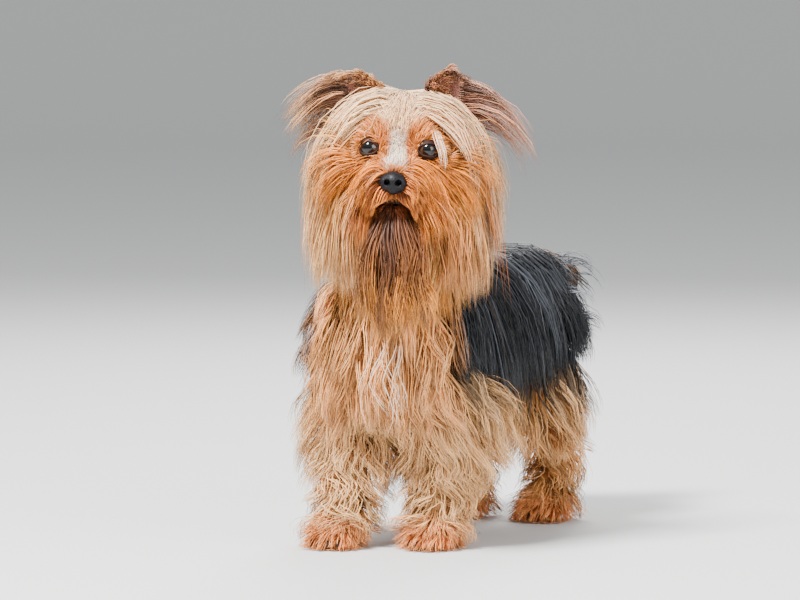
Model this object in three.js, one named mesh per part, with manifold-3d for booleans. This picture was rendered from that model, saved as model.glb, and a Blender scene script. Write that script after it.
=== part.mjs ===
// A life-size yorkshire terrier that stands square on four paws, its head raised and turned to its left.
// Millimetres, +Z up; the dog faces -Y and its left is +X. The origin is on the floor under the middle of its box.
// The body is one blended field of ellipsoids and round cones, the skin. Each node's core is cast out from a
// short axis to a set depth over that skin, and its coat is made of flat, tapered locks that fall over the field.
import * as THREE from "three";
import { ConvexGeometry } from "three/addons/geometries/ConvexGeometry.js";
import { mergeVertices } from "three/addons/utils/BufferGeometryUtils.js";
import Module from "manifold-3d";

const wasm = await Module();
wasm.setup();

const V = (x, y, z) => new THREE.Vector3(x, y, z);
const rad = THREE.MathUtils.degToRad;
const DOWN = V(0, 0, -1);

// Driving dimensions
const withers = 218; // height of the skin over the shoulder blades
const chestHalf = 43; // half the width of the rib cage
const gap = 0.35; // clear space between nodes that touch
const soleLevel = 0; // every paw stands on this level
const headTurn = 21; // degrees to the dog's left
const headPitch = -2;
const headRoll = 2;
const eyeApart = 40.6; // from the centre of one eye to the other
const eyeRadius = 8;
const eyeForward = 31.5; // from the skull's centre to the eyes' centres
const eyeUp = 2;
const skullHalf = 35; // half the width of the skull
const muzzleReach = 60; // from the skull's centre to the front of the upper lip
const noseHalf = { left: 9.6, front: 9, up: 8.6 };
const noseUp = -17.5; // height of the nose's middle on the head
const toeSpacing = 7.2;
const skullCentre = V(26.4, -118.2, 293.6);

// Where each paw stands, and how high its leg's joints are
const foreLegs = {
  right: {
    side: -1, paw: V(-32, -112, 0), wrist: V(-31, -100, 34), elbow: V(-34, -72, 92), shoulder: V(-31, -84, 142),
  },
  left: { side: 1, paw: V(33, -84, 0), wrist: V(32, -74, 34), elbow: V(35, -62, 94), shoulder: V(31, -80, 142) },
};
const hindLegs = {
  right: { side: -1, paw: V(-33, 94, 0), hock: V(-33, 118, 52), knee: V(-35, 66, 98), hip: V(-27, 90, 156) },
  left: { side: 1, paw: V(34, 106, 0), hock: V(34, 129, 52), knee: V(36, 78, 98), hip: V(27, 94, 156) },
};

// Depth of each node's core over the skin, about half way to the tips of its coat
const coreDepth = { head: 3, jaw: 2.5, neck: 7, chest: 6, torso: 6, tail: 4, foreLeg: 7, hindLeg: 6, paw: 3 };

// Colours and finishes
const finish = (color, roughness) => new THREE.MeshStandardMaterial({ color, roughness, metalness: 0 });
const finishes = {
  cream: finish(0xdcb38a, 0.75),
  rust: finish(0xc8854f, 0.75),
  steel: finish(0x2c2e36, 0.55),
  leather: finish(0x1d1c20, 0.4),
  eye: finish(0x1c100b, 0.1),
};

// The head's own axes
function headAxes() {
  const [yaw, pitch, roll] = [headTurn, headPitch, headRoll].map(rad);
  const front = V(Math.sin(yaw) * Math.cos(pitch), -Math.cos(yaw) * Math.cos(pitch), Math.sin(pitch));
  const level = V(Math.cos(yaw), Math.sin(yaw), 0);
  const top = front.clone().cross(level).negate();
  if (top.z < 0) top.negate();
  const left = level.clone().multiplyScalar(Math.cos(roll)).addScaledVector(top, -Math.sin(roll));
  const up = top.multiplyScalar(Math.cos(roll)).addScaledVector(level, Math.sin(roll));
  return { left, front, up };
}
const headFrame = headAxes();
const headDirection = (left, front, up) =>
  V(0, 0, 0)
    .addScaledVector(headFrame.left, left)
    .addScaledVector(headFrame.front, front)
    .addScaledVector(headFrame.up, up);
const onHead = (left, front, up) => headDirection(left, front, up).add(skullCentre);

// The skin's field
// Ellipsoid with its axes along the body, or along the head where inHead is set.
function ellipsoid(centre, radii, inHead = false) {
  const c = inHead ? onHead(centre.x, centre.y, centre.z) : centre;
  return (p) => {
    const q = p.clone().sub(c);
    const local = inHead ? V(q.dot(headFrame.left), q.dot(headFrame.front), q.dot(headFrame.up)) : q;
    const near = local.divide(radii);
    const k0 = near.length();
    if (k0 < 1e-4) return -Math.min(radii.x, radii.y, radii.z);
    return (k0 * (k0 - 1)) / near.divide(radii).length();
  };
}

// Round cone from a to b.
function cone(a, b, ra, rb) {
  const axis = b.clone().sub(a);
  const length2 = axis.lengthSq();
  return (p) => {
    const q = p.clone().sub(a);
    const share = THREE.MathUtils.clamp(q.dot(axis) / length2, 0, 1);
    return q.addScaledVector(axis, -share).length() - (ra + (rb - ra) * share);
  };
}

function blend(shapes, softness) {
  return (p) => {
    let d = shapes[0](p);
    for (let i = 1; i < shapes.length; i++) {
      const e = shapes[i](p);
      const h = Math.max(softness - Math.abs(d - e), 0) / softness;
      d = Math.min(d, e) - (h * h * softness) / 4;
    }
    return d;
  };
}

function normalOf(field, p) {
  const e = 0.6;
  const along = (d) => field(p.clone().add(d)) - field(p.clone().sub(d));
  return V(along(V(e, 0, 0)), along(V(0, e, 0)), along(V(0, 0, e))).normalize();
}

const torsoField = blend(
  [
    ellipsoid(V(0, -42, 168), V(chestHalf, 76, 46)),
    ellipsoid(V(0, 42, 173), V(36, 72, 39)),
    ellipsoid(V(0, 92, 171), V(41, 44, 43)),
    ellipsoid(V(0, -58, withers - 24), V(24, 40, 24)),
    ellipsoid(V(34, -74, 156), V(16, 28, 36)),
    ellipsoid(V(-34, -74, 156), V(16, 28, 36)),
  ],
  12,
);
const chestField = blend(
  [ellipsoid(V(4, -98, 158), V(36, 27, 38)), ellipsoid(V(2, -84, 128), V(30, 28, 26))],
  12,
);
const neckField = cone(V(5, -84, 194), V(24, -108, 266), 37, 30);
const headField = blend(
  [
    ellipsoid(V(0, -4, 8), V(skullHalf, 38, 33), true),
    ellipsoid(V(0, 20, 10), V(27, 18, 21), true),
    ellipsoid(V(22, 8, -14), V(15, 22, 18), true),
    ellipsoid(V(-22, 8, -14), V(15, 22, 18), true),
    cone(onHead(0, 24, -12), onHead(0, muzzleReach - 10, -16), 18, 12),
    ellipsoid(V(8, 42, -23), V(10, 19, 11), true),
    ellipsoid(V(-8, 42, -23), V(10, 19, 11), true),
  ],
  9,
);
const jawField = blend(
  [cone(onHead(0, 4, -37), onHead(0, 45, -42), 13, 7), ellipsoid(V(0, 2, -34), V(20, 18, 12), true)],
  8,
);

function foreLegField({ side, wrist, elbow, shoulder }) {
  return blend(
    [
      cone(shoulder, elbow, 20, 15.5),
      cone(elbow, wrist, 14.5, 10),
      cone(wrist, V(wrist.x, wrist.y - 4, 14), 10, 10.5),
      ellipsoid(elbow.clone().add(V(side * 2, 8, 12)), V(14, 18, 20)),
    ],
    8,
  );
}
function hindLegField({ side, paw, hock, knee, hip }) {
  return blend(
    [
      cone(hip, knee, 30, 18),
      cone(knee, hock, 15, 9),
      cone(hock, V(paw.x, paw.y + 12, 14), 9, 9.5),
      ellipsoid(hip.clone().add(V(side * 3, 4, -22)), V(20, 33, 34)),
    ],
    9,
  );
}
// A paw: the pad, and four toes side by side in front of it.
function pawField({ side, paw }) {
  const toes = [-1.5, -0.5, 0.5, 1.5].map((place) =>
    ellipsoid(V(paw.x + place * toeSpacing, paw.y - 10 + Math.abs(place) * 2.4, 7.5), V(4.6, 10, 7)),
  );
  const pad = ellipsoid(V(paw.x, paw.y + 3, 9), V(14, 15, 10));
  const ankle = cone(V(paw.x, paw.y + 5, 12), V(paw.x - side, paw.y + 9, 26), 10, 10);
  return blend([pad, ankle, ...toes], 4);
}
const tailRoot = V(0, 122, 192);
const tailMid = V(11, 147, 197);
const tailTip = V(27, 164, 190);
const tailField = blend([cone(tailRoot, tailMid, 9, 6.5), cone(tailMid, tailTip, 6.5, 4)], 4);

const fields = {
  torso: torsoField,
  chest: chestField,
  neck: neckField,
  head: headField,
  jaw: jawField,
  tail: tailField,
  foreRight: foreLegField(foreLegs.right),
  foreLeft: foreLegField(foreLegs.left),
  hindRight: hindLegField(hindLegs.right),
  hindLeft: hindLegField(hindLegs.left),
  pawForeRight: pawField(foreLegs.right),
  pawForeLeft: pawField(foreLegs.left),
  pawHindRight: pawField(hindLegs.right),
  pawHindLeft: pawField(hindLegs.left),
};
const wholeBody = (p) => Math.min(...Object.values(fields).map((field) => field(p)));

// From a starting point inside, the place along a direction where the field reaches a level.
function reach(field, start, direction, level, farthest = 140) {
  const at = (r) => field(start.clone().addScaledVector(direction, r)) - level;
  let near = 0;
  let far = 2;
  while (far < farthest && at(far) < 0) {
    near = far;
    far += 2;
  }
  for (let i = 0; i < 12; i++) {
    const middle = (near + far) / 2;
    if (at(middle) < 0) near = middle;
    else far = middle;
  }
  return start.clone().addScaledVector(direction, near);
}

// Solids
function closedGeometry(points, triangles) {
  const geometry = new THREE.BufferGeometry();
  const places = points.flatMap((p) => [p.x, p.y, p.z]);
  geometry.setAttribute("position", new THREE.Float32BufferAttribute(places, 3));
  geometry.setIndex(triangles.flat());
  return geometry;
}

function solidOf(geometry) {
  const bare = geometry.clone();
  bare.deleteAttribute("normal");
  bare.deleteAttribute("uv");
  const merged = mergeVertices(bare, 1e-4);
  const build = (triVerts) =>
    new wasm.Manifold(new wasm.Mesh({ numProp: 3, vertProperties: merged.attributes.position.array, triVerts }));
  const triVerts = new Uint32Array(merged.index.array);
  const made = build(triVerts);
  if (made.volume() >= 0) return made;
  for (let i = 0; i < triVerts.length; i += 3) {
    [triVerts[i + 1], triVerts[i + 2]] = [triVerts[i + 2], triVerts[i + 1]];
  }
  return build(triVerts);
}

function geometryOf(solid) {
  const mesh = solid.getMesh();
  const geometry = new THREE.BufferGeometry();
  const positions = new Float32Array(mesh.numVert * 3);
  for (let i = 0; i < mesh.numVert; i++) {
    positions.set(mesh.vertProperties.subarray(i * mesh.numProp, i * mesh.numProp + 3), i * 3);
  }
  geometry.setAttribute("position", new THREE.BufferAttribute(positions, 3));
  geometry.setIndex(new THREE.BufferAttribute(mesh.triVerts, 1));
  geometry.computeVertexNormals();
  return geometry;
}

// Closed body from rings of equal count, with a point at each end.
function ringedSolid(first, rings, last) {
  const sides = rings[0].length;
  const points = [first, ...rings.flat(), last];
  const at = (ring, i) => 1 + ring * sides + (i % sides);
  const triangles = [];
  for (let i = 0; i < sides; i++) {
    triangles.push([0, at(0, i + 1), at(0, i)]);
    triangles.push([points.length - 1, at(rings.length - 1, i), at(rings.length - 1, i + 1)]);
    for (let ring = 0; ring < rings.length - 1; ring++) {
      triangles.push([at(ring, i), at(ring, i + 1), at(ring + 1, i)]);
      triangles.push([at(ring, i + 1), at(ring + 1, i + 1), at(ring + 1, i)]);
    }
  }
  return solidOf(closedGeometry(points, triangles));
}

// A core, cast from the axis between two points out to a level of the field.
function castCore(field, level, from, to, ringCount, sides, across = V(1, 0, 0), floor = -Infinity) {
  const axis = to.clone().sub(from).normalize();
  const second = axis.clone().cross(across).normalize();
  const first = second.clone().cross(axis).normalize();
  const onFloor = (p) => (p.z < floor ? V(p.x, p.y, floor) : p);
  const ray = (share, turn) => {
    const tilt = (share - 0.5) * Math.PI;
    const start = from.clone().lerp(to, share);
    const direction = axis
      .clone()
      .multiplyScalar(Math.sin(tilt))
      .addScaledVector(first, Math.cos(tilt) * Math.cos(turn))
      .addScaledVector(second, Math.cos(tilt) * Math.sin(turn));
    return onFloor(reach(field, start, direction, level));
  };
  const rings = [];
  for (let ring = 1; ring < ringCount; ring++) {
    rings.push(Array.from({ length: sides }, (_, i) => ray(ring / ringCount, (i / sides) * 2 * Math.PI)));
  }
  return ringedSolid(ray(0, 0), rings, ray(1, 0));
}

// A seeded draw from 0 to 1
let seed = 20817;
function draw() {
  seed = (seed * 1103515245 + 12345) % 2147483648;
  return seed / 2147483648;
}
const spread = (low, high) => low + (high - low) * draw();

// One lock of coat. It starts sunk in the core, leaves along its lie, and falls over the body at its own lift.
function lockPath({ root, lie, length, lift, segments = 4, weight = 0.95, wave = 0, sink = 5 }) {
  const normal = normalOf(wholeBody, root);
  const step = length / segments;
  const direction = lie.clone().addScaledVector(normal, 0.25).normalize();
  const path = [root.clone().addScaledVector(normal, -sink).addScaledVector(direction, -0.1 * step)];
  const p = root.clone().addScaledVector(normal, 0.4);
  const normals = [normal.clone()];
  for (let i = 1; i <= segments; i++) {
    direction.addScaledVector(DOWN, weight).normalize();
    p.addScaledVector(direction, step);
    const side = direction.clone().cross(normal).normalize();
    p.addScaledVector(side, wave * (i % 2 ? 1 : -1));
    for (let pass = 0; pass < 3; pass++) {
      const depth = wholeBody(p);
      if (depth < lift) p.addScaledVector(normalOf(wholeBody, p), lift - depth);
    }
    if (p.z < 2.5) p.z = 2.5;
    direction.copy(p).sub(path[path.length - 1]).normalize();
    const out = normalOf(wholeBody, p);
    normal.lerp(out, 0.5).normalize();
    path.push(p.clone());
    normals.push(normal.clone());
  }
  return { path, normals };
}

// Flat, tapered lock with a ridge along its outside, made of one convex length between each two sections, so
// that a tight bend never folds it through itself. growth widens it all round, for cutting its neighbours.
const lockThickness = 2.6;
const widthShares = [0.75, 1, 0.95, 0.78, 0.5, 0.3];
function lockSolid({ path, normals }, width, thickness, growth) {
  const last = path.length - 1;
  const first = path[1].clone().sub(path[0]).normalize();
  const end = path[last].clone().sub(path[last - 1]).normalize();
  const sections = [[path[0].clone().addScaledVector(first, -0.3 - growth)]];
  for (let i = 0; i < last; i++) {
    const tangent = path[i + 1].clone().sub(path[Math.max(i - 1, 0)]).normalize();
    const side = tangent.clone().cross(normals[i]).normalize();
    const out = side.clone().cross(tangent).normalize();
    const half = (width / 2) * widthShares[Math.min(i, widthShares.length - 1)] + growth;
    sections.push([
      path[i].clone().addScaledVector(side, half).addScaledVector(out, -growth),
      path[i].clone().addScaledVector(out, thickness * (i < last - 1 ? 1 : 0.75) + growth),
      path[i].clone().addScaledVector(side, -half).addScaledVector(out, -growth),
    ]);
  }
  sections.push([path[last].clone().addScaledVector(end, growth)]);
  const between = (section, i) => solidOf(new ConvexGeometry([...sections[i], ...section]));
  const lengths = sections.slice(1).map(between);
  return lengths.reduce((whole, length) => whole.add(length));
}

const lock = (options) => {
  const route = lockPath(options);
  return {
    make: (growth) => lockSolid(route, options.width, options.thickness ?? lockThickness, growth),
    shorter: () => lock({ ...options, length: options.length * 0.75 }),
  };
};

// Each node is a list of pieces that can be made at size, or grown a little to cut its neighbours.
const nodes = new Map();
function addNode(name, material, pieces) {
  nodes.set(name, { material, pieces });
}
const core = (field, depth, from, to, rings, sides, across, floor) => ({
  make: (growth) => {
    const lowest = floor === undefined ? undefined : floor - growth;
    return castCore(field, depth + growth, from, to, rings, sides, across, lowest);
  },
});

// Torso: two tiers of long locks that fall from the parting down each flank, and a third over the rump
function torsoLocks() {
  const made = [];
  const tiers = [
    { from: -60, to: 108, count: 8, turn: 78, length: 126, lift: 11, width: 25, back: 0.2 },
    { from: -50, to: 112, count: 7, turn: 14, length: 74, lift: 8, width: 25, back: 0.1 },
  ];
  for (const side of [-1, 1]) {
    for (const { from, to, count, turn, length, lift, width, back } of tiers) {
      for (let i = 0; i < count; i++) {
        const y = THREE.MathUtils.lerp(from, to, i / (count - 1)) + spread(-3, 3);
        const direction = V(side * Math.cos(rad(turn)), 0, Math.sin(rad(turn)));
        const root = reach(torsoField, V(0, y, 172), direction, coreDepth.torso);
        const lie = V(side, back + 0.5 * Math.max(0, (y - 70) / 50), turn > 50 ? 0.1 : -0.9);
        const own = { length: length * spread(0.92, 1.05), lift: lift + spread(0, 1.2) };
        made.push(lock({ root, lie, ...own, width, segments: 5 }));
      }
    }
  }
  for (let i = 0; i < 5; i++) {
    const turn = rad(-60 + (120 * i) / 4);
    const direction = V(Math.sin(turn), Math.cos(turn) * 0.9, 0.42).normalize();
    const root = reach(torsoField, V(0, 84, 172), direction, coreDepth.torso);
    const lie = direction.clone().add(V(0, 0.2, -0.7));
    made.push(lock({ root, lie, length: spread(78, 92), lift: 9, width: 22 }));
  }
  return made;
}
addNode("torso", "steel", [
  core(torsoField, coreDepth.torso, V(0, -58, 170), V(0, 92, 172), 12, 16),
  ...torsoLocks(),
]);

// Chest: a bib of wavy locks
function chestLocks() {
  const made = [];
  for (let row = 0; row < 3; row++) {
    const count = [6, 5, 4][row];
    for (let i = 0; i < count; i++) {
      const turn = rad(-68 + (136 * (i + 0.5)) / count);
      const direction = V(Math.sin(turn), -Math.cos(turn), 0.25 - 0.4 * row).normalize();
      const root = reach(chestField, V(3, -92, 152), direction, coreDepth.chest);
      const lie = V(Math.sin(turn) * 0.5, -Math.cos(turn) * 0.3, -1);
      const length = [62, 58, 50][row] * spread(0.9, 1.1);
      made.push(lock({ root, lie, length, lift: 8 + row * 0.6, width: 15, wave: 1.6 }));
    }
  }
  return made;
}
addNode("chest", "cream", [
  core(chestField, coreDepth.chest, V(3, -90, 136), V(3, -92, 166), 7, 12),
  ...chestLocks(),
]);

// Neck: a ruff round its back and sides, with the throat left to the beard that hangs before it
function neckLocks() {
  const made = [];
  for (let row = 0; row < 2; row++) {
    for (let i = 0; i < 8; i++) {
      const turn = rad(-132 + (264 * i) / 7);
      const outward = V(Math.sin(turn), Math.cos(turn), 0);
      const axis = V(5, -84, 194).lerp(V(24, -108, 266), 0.75 - 0.5 * row);
      const root = reach(neckField, axis, outward, coreDepth.neck);
      const lie = outward.clone().multiplyScalar(0.4).add(DOWN);
      made.push(lock({ root, lie, length: spread(58, 68), lift: 10.5 - row, width: 20 }));
    }
  }
  return made;
}
addNode("neck", "cream", [
  core(neckField, coreDepth.neck, V(7, -86, 202), V(23, -107, 262), 6, 14),
  ...neckLocks(),
]);

// Head
const eyeCentre = (side) => onHead((side * eyeApart) / 2, eyeForward, eyeUp);

function ringTube(centre, facing, radius, tube, growth, squash = 1) {
  const ring = new THREE.TorusGeometry(radius, tube + growth, 4, 12);
  ring.scale(1, squash, 1);
  const across = headFrame.up.clone().cross(facing).normalize();
  ring.applyMatrix4(new THREE.Matrix4().makeBasis(across, headFrame.up, facing).setPosition(centre));
  return solidOf(ring);
}

function headLocks() {
  const made = [];
  const skull = onHead(0, 0, 6);
  const rootAt = (left, front, up) =>
    reach(headField, skull, headDirection(left, front, up).normalize(), coreDepth.head);
  // The nape
  for (let i = 0; i < 4; i++) {
    const across = -0.6 + 0.4 * i;
    const lie = headDirection(across * 0.6, -0.8, -0.5);
    made.push(lock({ root: rootAt(across, -0.85, 0.15), lie, length: spread(74, 84), lift: 12, width: 22 }));
  }
  for (const side of [-1, 1]) {
    // The fall: from the parting over the skull and down past the eye and cheek
    for (let i = 0; i < 5; i++) {
      const share = i / 4;
      const root = rootAt(side * 0.24, 0.5 - 1.25 * share, 0.9);
      const lie = headDirection(side, 0.12 - 0.4 * share, 0.05);
      const length = spread(136, 150) - 24 * share;
      made.push(lock({ root, lie, length, lift: 11, width: 20, segments: 5, weight: 0.62 }));
    }
    // The cheek curtain under it
    for (let i = 0; i < 4; i++) {
      const share = i / 3;
      const root = rootAt(side, 0.4 - 0.9 * share, -0.35);
      const lie = headDirection(side * 0.5, 0.15 - 0.3 * share, -1);
      made.push(lock({ root, lie, length: spread(86, 100), lift: 7, width: 18 }));
    }
    // The moustache: outward from the nose, then down
    for (let i = 0; i < 5; i++) {
      const share = i / 4;
      const start = onHead(0, 16 + 36 * share, -18);
      const outward = headDirection(side, 0.15, 0.35 - 0.5 * (i % 2)).normalize();
      const root = reach(headField, start, outward, coreDepth.head);
      const lie = headDirection(side, 0.1 + 0.2 * share, -0.55);
      made.push(lock({ root, lie, length: spread(46, 58), lift: 5, width: 11, weight: 0.7, sink: 4 }));
    }
    // The brow
    const brow = { root: rootAt(side * 0.4, 0.95, 0.44), lie: headDirection(side, 0.2, 0.15) };
    made.push(lock({ ...brow, length: 26, lift: 4, width: 9, thickness: 2, segments: 3, sink: 3.5 }));
  }
  return made;
}

const lids = [-1, 1].flatMap((side) => {
  const facing = headDirection(side * 0.32, 1, 0.06).normalize();
  const centre = eyeCentre(side).addScaledVector(facing, 4);
  return [{ make: (growth) => ringTube(centre, facing, 7.4, 1.9, growth, 0.86) }];
});
addNode("head", "cream", [
  core(headField, coreDepth.head, onHead(0, -12, 4), onHead(0, 44, -16), 16, 18, headFrame.left),
  ...lids,
  ...headLocks(),
]);

function jawLocks() {
  const made = [];
  for (let row = 0; row < 2; row++) {
    const count = [6, 5][row];
    for (let i = 0; i < count; i++) {
      const share = (i + 0.5) / count;
      const turn = rad(-80 + 160 * share);
      const start = onHead(0, 18 + 24 * (1 - row), -39);
      const direction = headDirection(Math.sin(turn), 0.75 * Math.cos(turn) * (1 - row), -0.75).normalize();
      const root = reach(jawField, start, direction, coreDepth.jaw);
      const lie = headDirection(Math.sin(turn) * 0.55, 0.3, -1);
      const length = spread(76, 92);
      made.push(lock({ root, lie, length, lift: 11, width: 11, wave: 1.2, weight: 0.8, sink: 4 }));
    }
  }
  return made;
}
addNode("jaw", "rust", [
  core(jawField, coreDepth.jaw, onHead(0, 4, -38), onHead(0, 46, -41), 7, 12, headFrame.left),
  ...jawLocks(),
]);

// Nose: a rounded pad with two nostrils, each running out into a slit at the side
function noseSolid(growth) {
  const pad = new THREE.SphereGeometry(1, 14, 10);
  pad.scale(noseHalf.left + growth, noseHalf.front + growth, noseHalf.up + growth);
  const place = (geometry, left, front, up) => {
    const basis = new THREE.Matrix4().makeBasis(headFrame.left, headFrame.front.clone().negate(), headFrame.up);
    return geometry.applyMatrix4(basis.setPosition(onHead(left, front, up)));
  };
  let solid = solidOf(place(pad, 0, muzzleReach + 3, noseUp));
  if (growth > 0) return solid;
  for (const side of [-1, 1]) {
    const nostril = new THREE.SphereGeometry(1, 8, 6);
    nostril.scale(2.2, 4, 2.5);
    solid = solid.subtract(solidOf(place(nostril, side * 3.9, muzzleReach + 10.5, noseUp - 1)));
    const slit = new THREE.SphereGeometry(1, 6, 4);
    slit.scale(2.8, 4, 0.9);
    solid = solid.subtract(solidOf(place(slit, side * 6.6, muzzleReach + 9, noseUp - 2.7)));
  }
  return solid;
}
addNode("nose", "leather", [{ make: noseSolid }]);

for (const [name, side] of [["eye_right", -1], ["eye_left", 1]]) {
  addNode(name, "eye", [
    {
      make: (growth) => {
        const ball = new THREE.SphereGeometry(eyeRadius + growth, 14, 10);
        const c = eyeCentre(side);
        return solidOf(ball.translate(c.x, c.y, c.z));
      },
    },
  ]);
}

// Ear: a cupped leaf that stands on the skull and opens forward
const ear = { halfWidth: 15, thickness: 2.6, cup: 8, tip: { right: V(-39, -4, 52), left: V(33, -4, 57) } };
const earAlong = (side, share) => {
  const tip = side > 0 ? ear.tip.left : ear.tip.right;
  return onHead(side * 23, -4, 22).lerp(onHead(tip.x, tip.y, tip.z), share);
};
function earSection(side, share) {
  const facing = headDirection(side * 0.3, 1, 0.1).normalize();
  const axis = earAlong(side, 1).sub(earAlong(side, 0)).normalize();
  const across = axis.clone().cross(facing).normalize();
  const half = ear.halfWidth * Math.pow(1.02 - Math.pow(share, 1.7), 0.6);
  const out = across.clone().cross(axis).normalize();
  return { centre: earAlong(side, share), across, out, half, cup: ear.cup * (1 - share) + 0.8 };
}
function earSolid(side, growth) {
  const columns = 5;
  const rings = [0, 0.25, 0.5, 0.75, 0.95].map((share) => {
    const { centre, across, out, half, cup } = earSection(side, share);
    const wide = half + growth;
    const deep = ear.thickness / 2 + growth;
    const place = (u, lift) =>
      centre.clone().addScaledVector(across, u * wide).addScaledVector(out, -cup * (1 - u * u) + lift);
    const back = Array.from({ length: columns }, (_, i) => place((2 * i) / (columns - 1) - 1, -deep));
    const front = Array.from({ length: columns }, (_, i) => place(1 - (2 * i) / (columns - 1), deep));
    return [...back, ...front];
  });
  const middle = (ring) => ring.reduce((sum, p) => sum.add(p), V(0, 0, 0)).divideScalar(ring.length);
  const axis = earAlong(side, 1).sub(earAlong(side, 0)).normalize();
  const first = middle(rings[0]).addScaledVector(axis, -2);
  return ringedSolid(first, rings, middle(rings[4]).addScaledVector(axis, 3 + growth));
}
function earLocks(side) {
  const made = [];
  for (let i = 0; i < 5; i++) {
    const share = 0.4 + 0.13 * i;
    const { centre, across, out, half, cup } = earSection(side, share);
    const u = i % 2 ? 0.8 : -0.8;
    const root = centre.clone().addScaledVector(across, u * half).addScaledVector(out, -cup * (1 - u * u));
    const lie = headDirection(side, 0.12 * u, 0.25);
    made.push(lock({ root, lie, length: spread(50, 64), lift: 15, width: 10, weight: 0.62, sink: 0.4 }));
  }
  return made;
}
for (const [name, side] of [["ear_right", -1], ["ear_left", 1]]) {
  addNode(name, "rust", [{ make: (growth) => earSolid(side, growth) }, ...earLocks(side)]);
}

// Tail
function tailLocks() {
  const made = [];
  for (let i = 0; i < 6; i++) {
    const share = 0.3 + (0.65 * i) / 5;
    const start = tailRoot.clone().lerp(tailTip, share);
    const turn = rad(i % 2 ? 65 : -65);
    const outward = V(Math.sin(turn), 0.4, -0.2).normalize();
    const root = reach(tailField, start, outward, coreDepth.tail);
    const lie = outward.clone().add(V(0.15, 0.35, -0.6));
    made.push(lock({ root, lie, length: spread(52, 70), lift: 7, width: 12, sink: 3 }));
  }
  return made;
}
addNode("tail", "steel", [core(tailField, coreDepth.tail, tailRoot, tailTip, 7, 10), ...tailLocks()]);

// Legs and paws. Each row of locks stands at a share of the leg's length, over an arc about its outer side.
function legLocks(field, axis, side, rows, shape) {
  const made = [];
  for (const { share, length, count, arc } of rows) {
    for (let i = 0; i < count; i++) {
      const turn = rad(-arc / 2 + (arc * (i + 0.5)) / count);
      const outward = V(side * Math.cos(turn), Math.sin(turn), 0);
      const root = reach(field, axis.getPoint(share), outward, shape.depth);
      const lie = outward.clone().multiplyScalar(0.5).add(DOWN);
      const { lift, width } = shape;
      made.push(lock({ root, lie, length: length * spread(0.9, 1.1), lift, width, wave: 1.6, weight: 0.8 }));
    }
  }
  return made;
}
const line = (...points) => new THREE.CatmullRomCurve3(points);
const legFloor = 12; // a leg's core ends above its paw's sole
for (const [name, leg] of Object.entries(foreLegs)) {
  const field = fields[name === "left" ? "foreLeft" : "foreRight"];
  const axis = line(leg.shoulder, leg.elbow, leg.wrist, V(leg.wrist.x, leg.wrist.y - 3, 20));
  const top = leg.elbow.clone().lerp(leg.shoulder, 0.9);
  addNode(`fore_leg_${name}`, "cream", [
    core(field, coreDepth.foreLeg, top, V(leg.wrist.x, leg.wrist.y - 2, 34), 9, 10, V(1, 0, 0), legFloor),
    ...legLocks(field, axis, leg.side, [
      { share: 0.06, length: 58, count: 3, arc: 120 },
      { share: 0.32, length: 50, count: 4, arc: 240 },
      { share: 0.56, length: 44, count: 5, arc: 360 },
      { share: 0.8, length: 32, count: 5, arc: 330 },
    ], { depth: coreDepth.foreLeg, lift: 12, width: 18 }),
  ]);
}
for (const [name, leg] of Object.entries(hindLegs)) {
  const field = fields[name === "left" ? "hindLeft" : "hindRight"];
  const axis = line(leg.hip, leg.knee, leg.hock, V(leg.paw.x, leg.paw.y + 12, 20));
  addNode(`hind_leg_${name}`, "cream", [
    core(field, coreDepth.hindLeg, leg.hip, V(leg.hock.x, leg.hock.y - 8, 34), 10, 10, V(1, 0, 0), legFloor),
    ...legLocks(field, axis, leg.side, [
      { share: 0.34, length: 50, count: 4, arc: 250 },
      { share: 0.64, length: 42, count: 4, arc: 300 },
      { share: 0.86, length: 30, count: 4, arc: 330 },
    ], { depth: coreDepth.hindLeg, lift: 10, width: 18 }),
  ]);
}
const paws = [
  ["paw_fore_right", foreLegs.right, "pawForeRight"],
  ["paw_fore_left", foreLegs.left, "pawForeLeft"],
  ["paw_hind_right", hindLegs.right, "pawHindRight"],
  ["paw_hind_left", hindLegs.left, "pawHindLeft"],
];
const across = V(1, 0, 0);
for (const [name, { paw }, key] of paws) {
  const locks = Array.from({ length: 5 }, (_, i) => {
    const turn = rad(-96 + 48 * i);
    const outward = V(Math.sin(turn), -Math.cos(turn), 0.35).normalize();
    const root = reach(fields[key], V(paw.x, paw.y - 2, 9), outward, coreDepth.paw);
    const lie = outward.clone().add(V(0, 0, -0.4));
    return lock({ root, lie, length: 15, lift: 4.5, width: 12, thickness: 2, segments: 3, sink: 3 });
  });
  addNode(name, "rust", [
    core(fields[key], coreDepth.paw, V(paw.x, paw.y + 4, 20), V(paw.x, paw.y - 4, 8), 7, 10, across, soleLevel),
    ...locks,
  ]);
}

// The nodes that keep their whole shape come first: each one, a little grown, is cut out of those after it.
const order = [
  "eye_right", "eye_left", "nose", "ear_right", "ear_left", "head", "jaw", "neck", "torso", "chest", "tail",
  "paw_fore_right", "paw_fore_left", "paw_hind_right", "paw_hind_left",
  "fore_leg_right", "fore_leg_left", "hind_leg_right", "hind_leg_left",
];

const boxesMeet = (a, b) => [0, 1, 2].every((k) => a.min[k] <= b.max[k] && b.min[k] <= a.max[k]);
const overlap = (a, b) => (boxesMeet(a.boundingBox(), b.boundingBox()) ? a.intersect(b).volume() : 0);
const largest = (solid) => solid.decompose().sort((a, b) => b.volume() - a.volume())[0];

// The largest body once its points are rounded, so that no sliver is left hanging by a thread
function settled(solid) {
  let kept = largest(solid);
  for (let pass = 0; pass < 2; pass++) {
    const geometry = geometryOf(kept);
    const position = geometry.attributes.position;
    position.array.forEach((value, i) => (position.array[i] = Math.round(value * 1000) / 1000));
    kept = largest(solidOf(geometry));
  }
  return kept;
}

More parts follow.
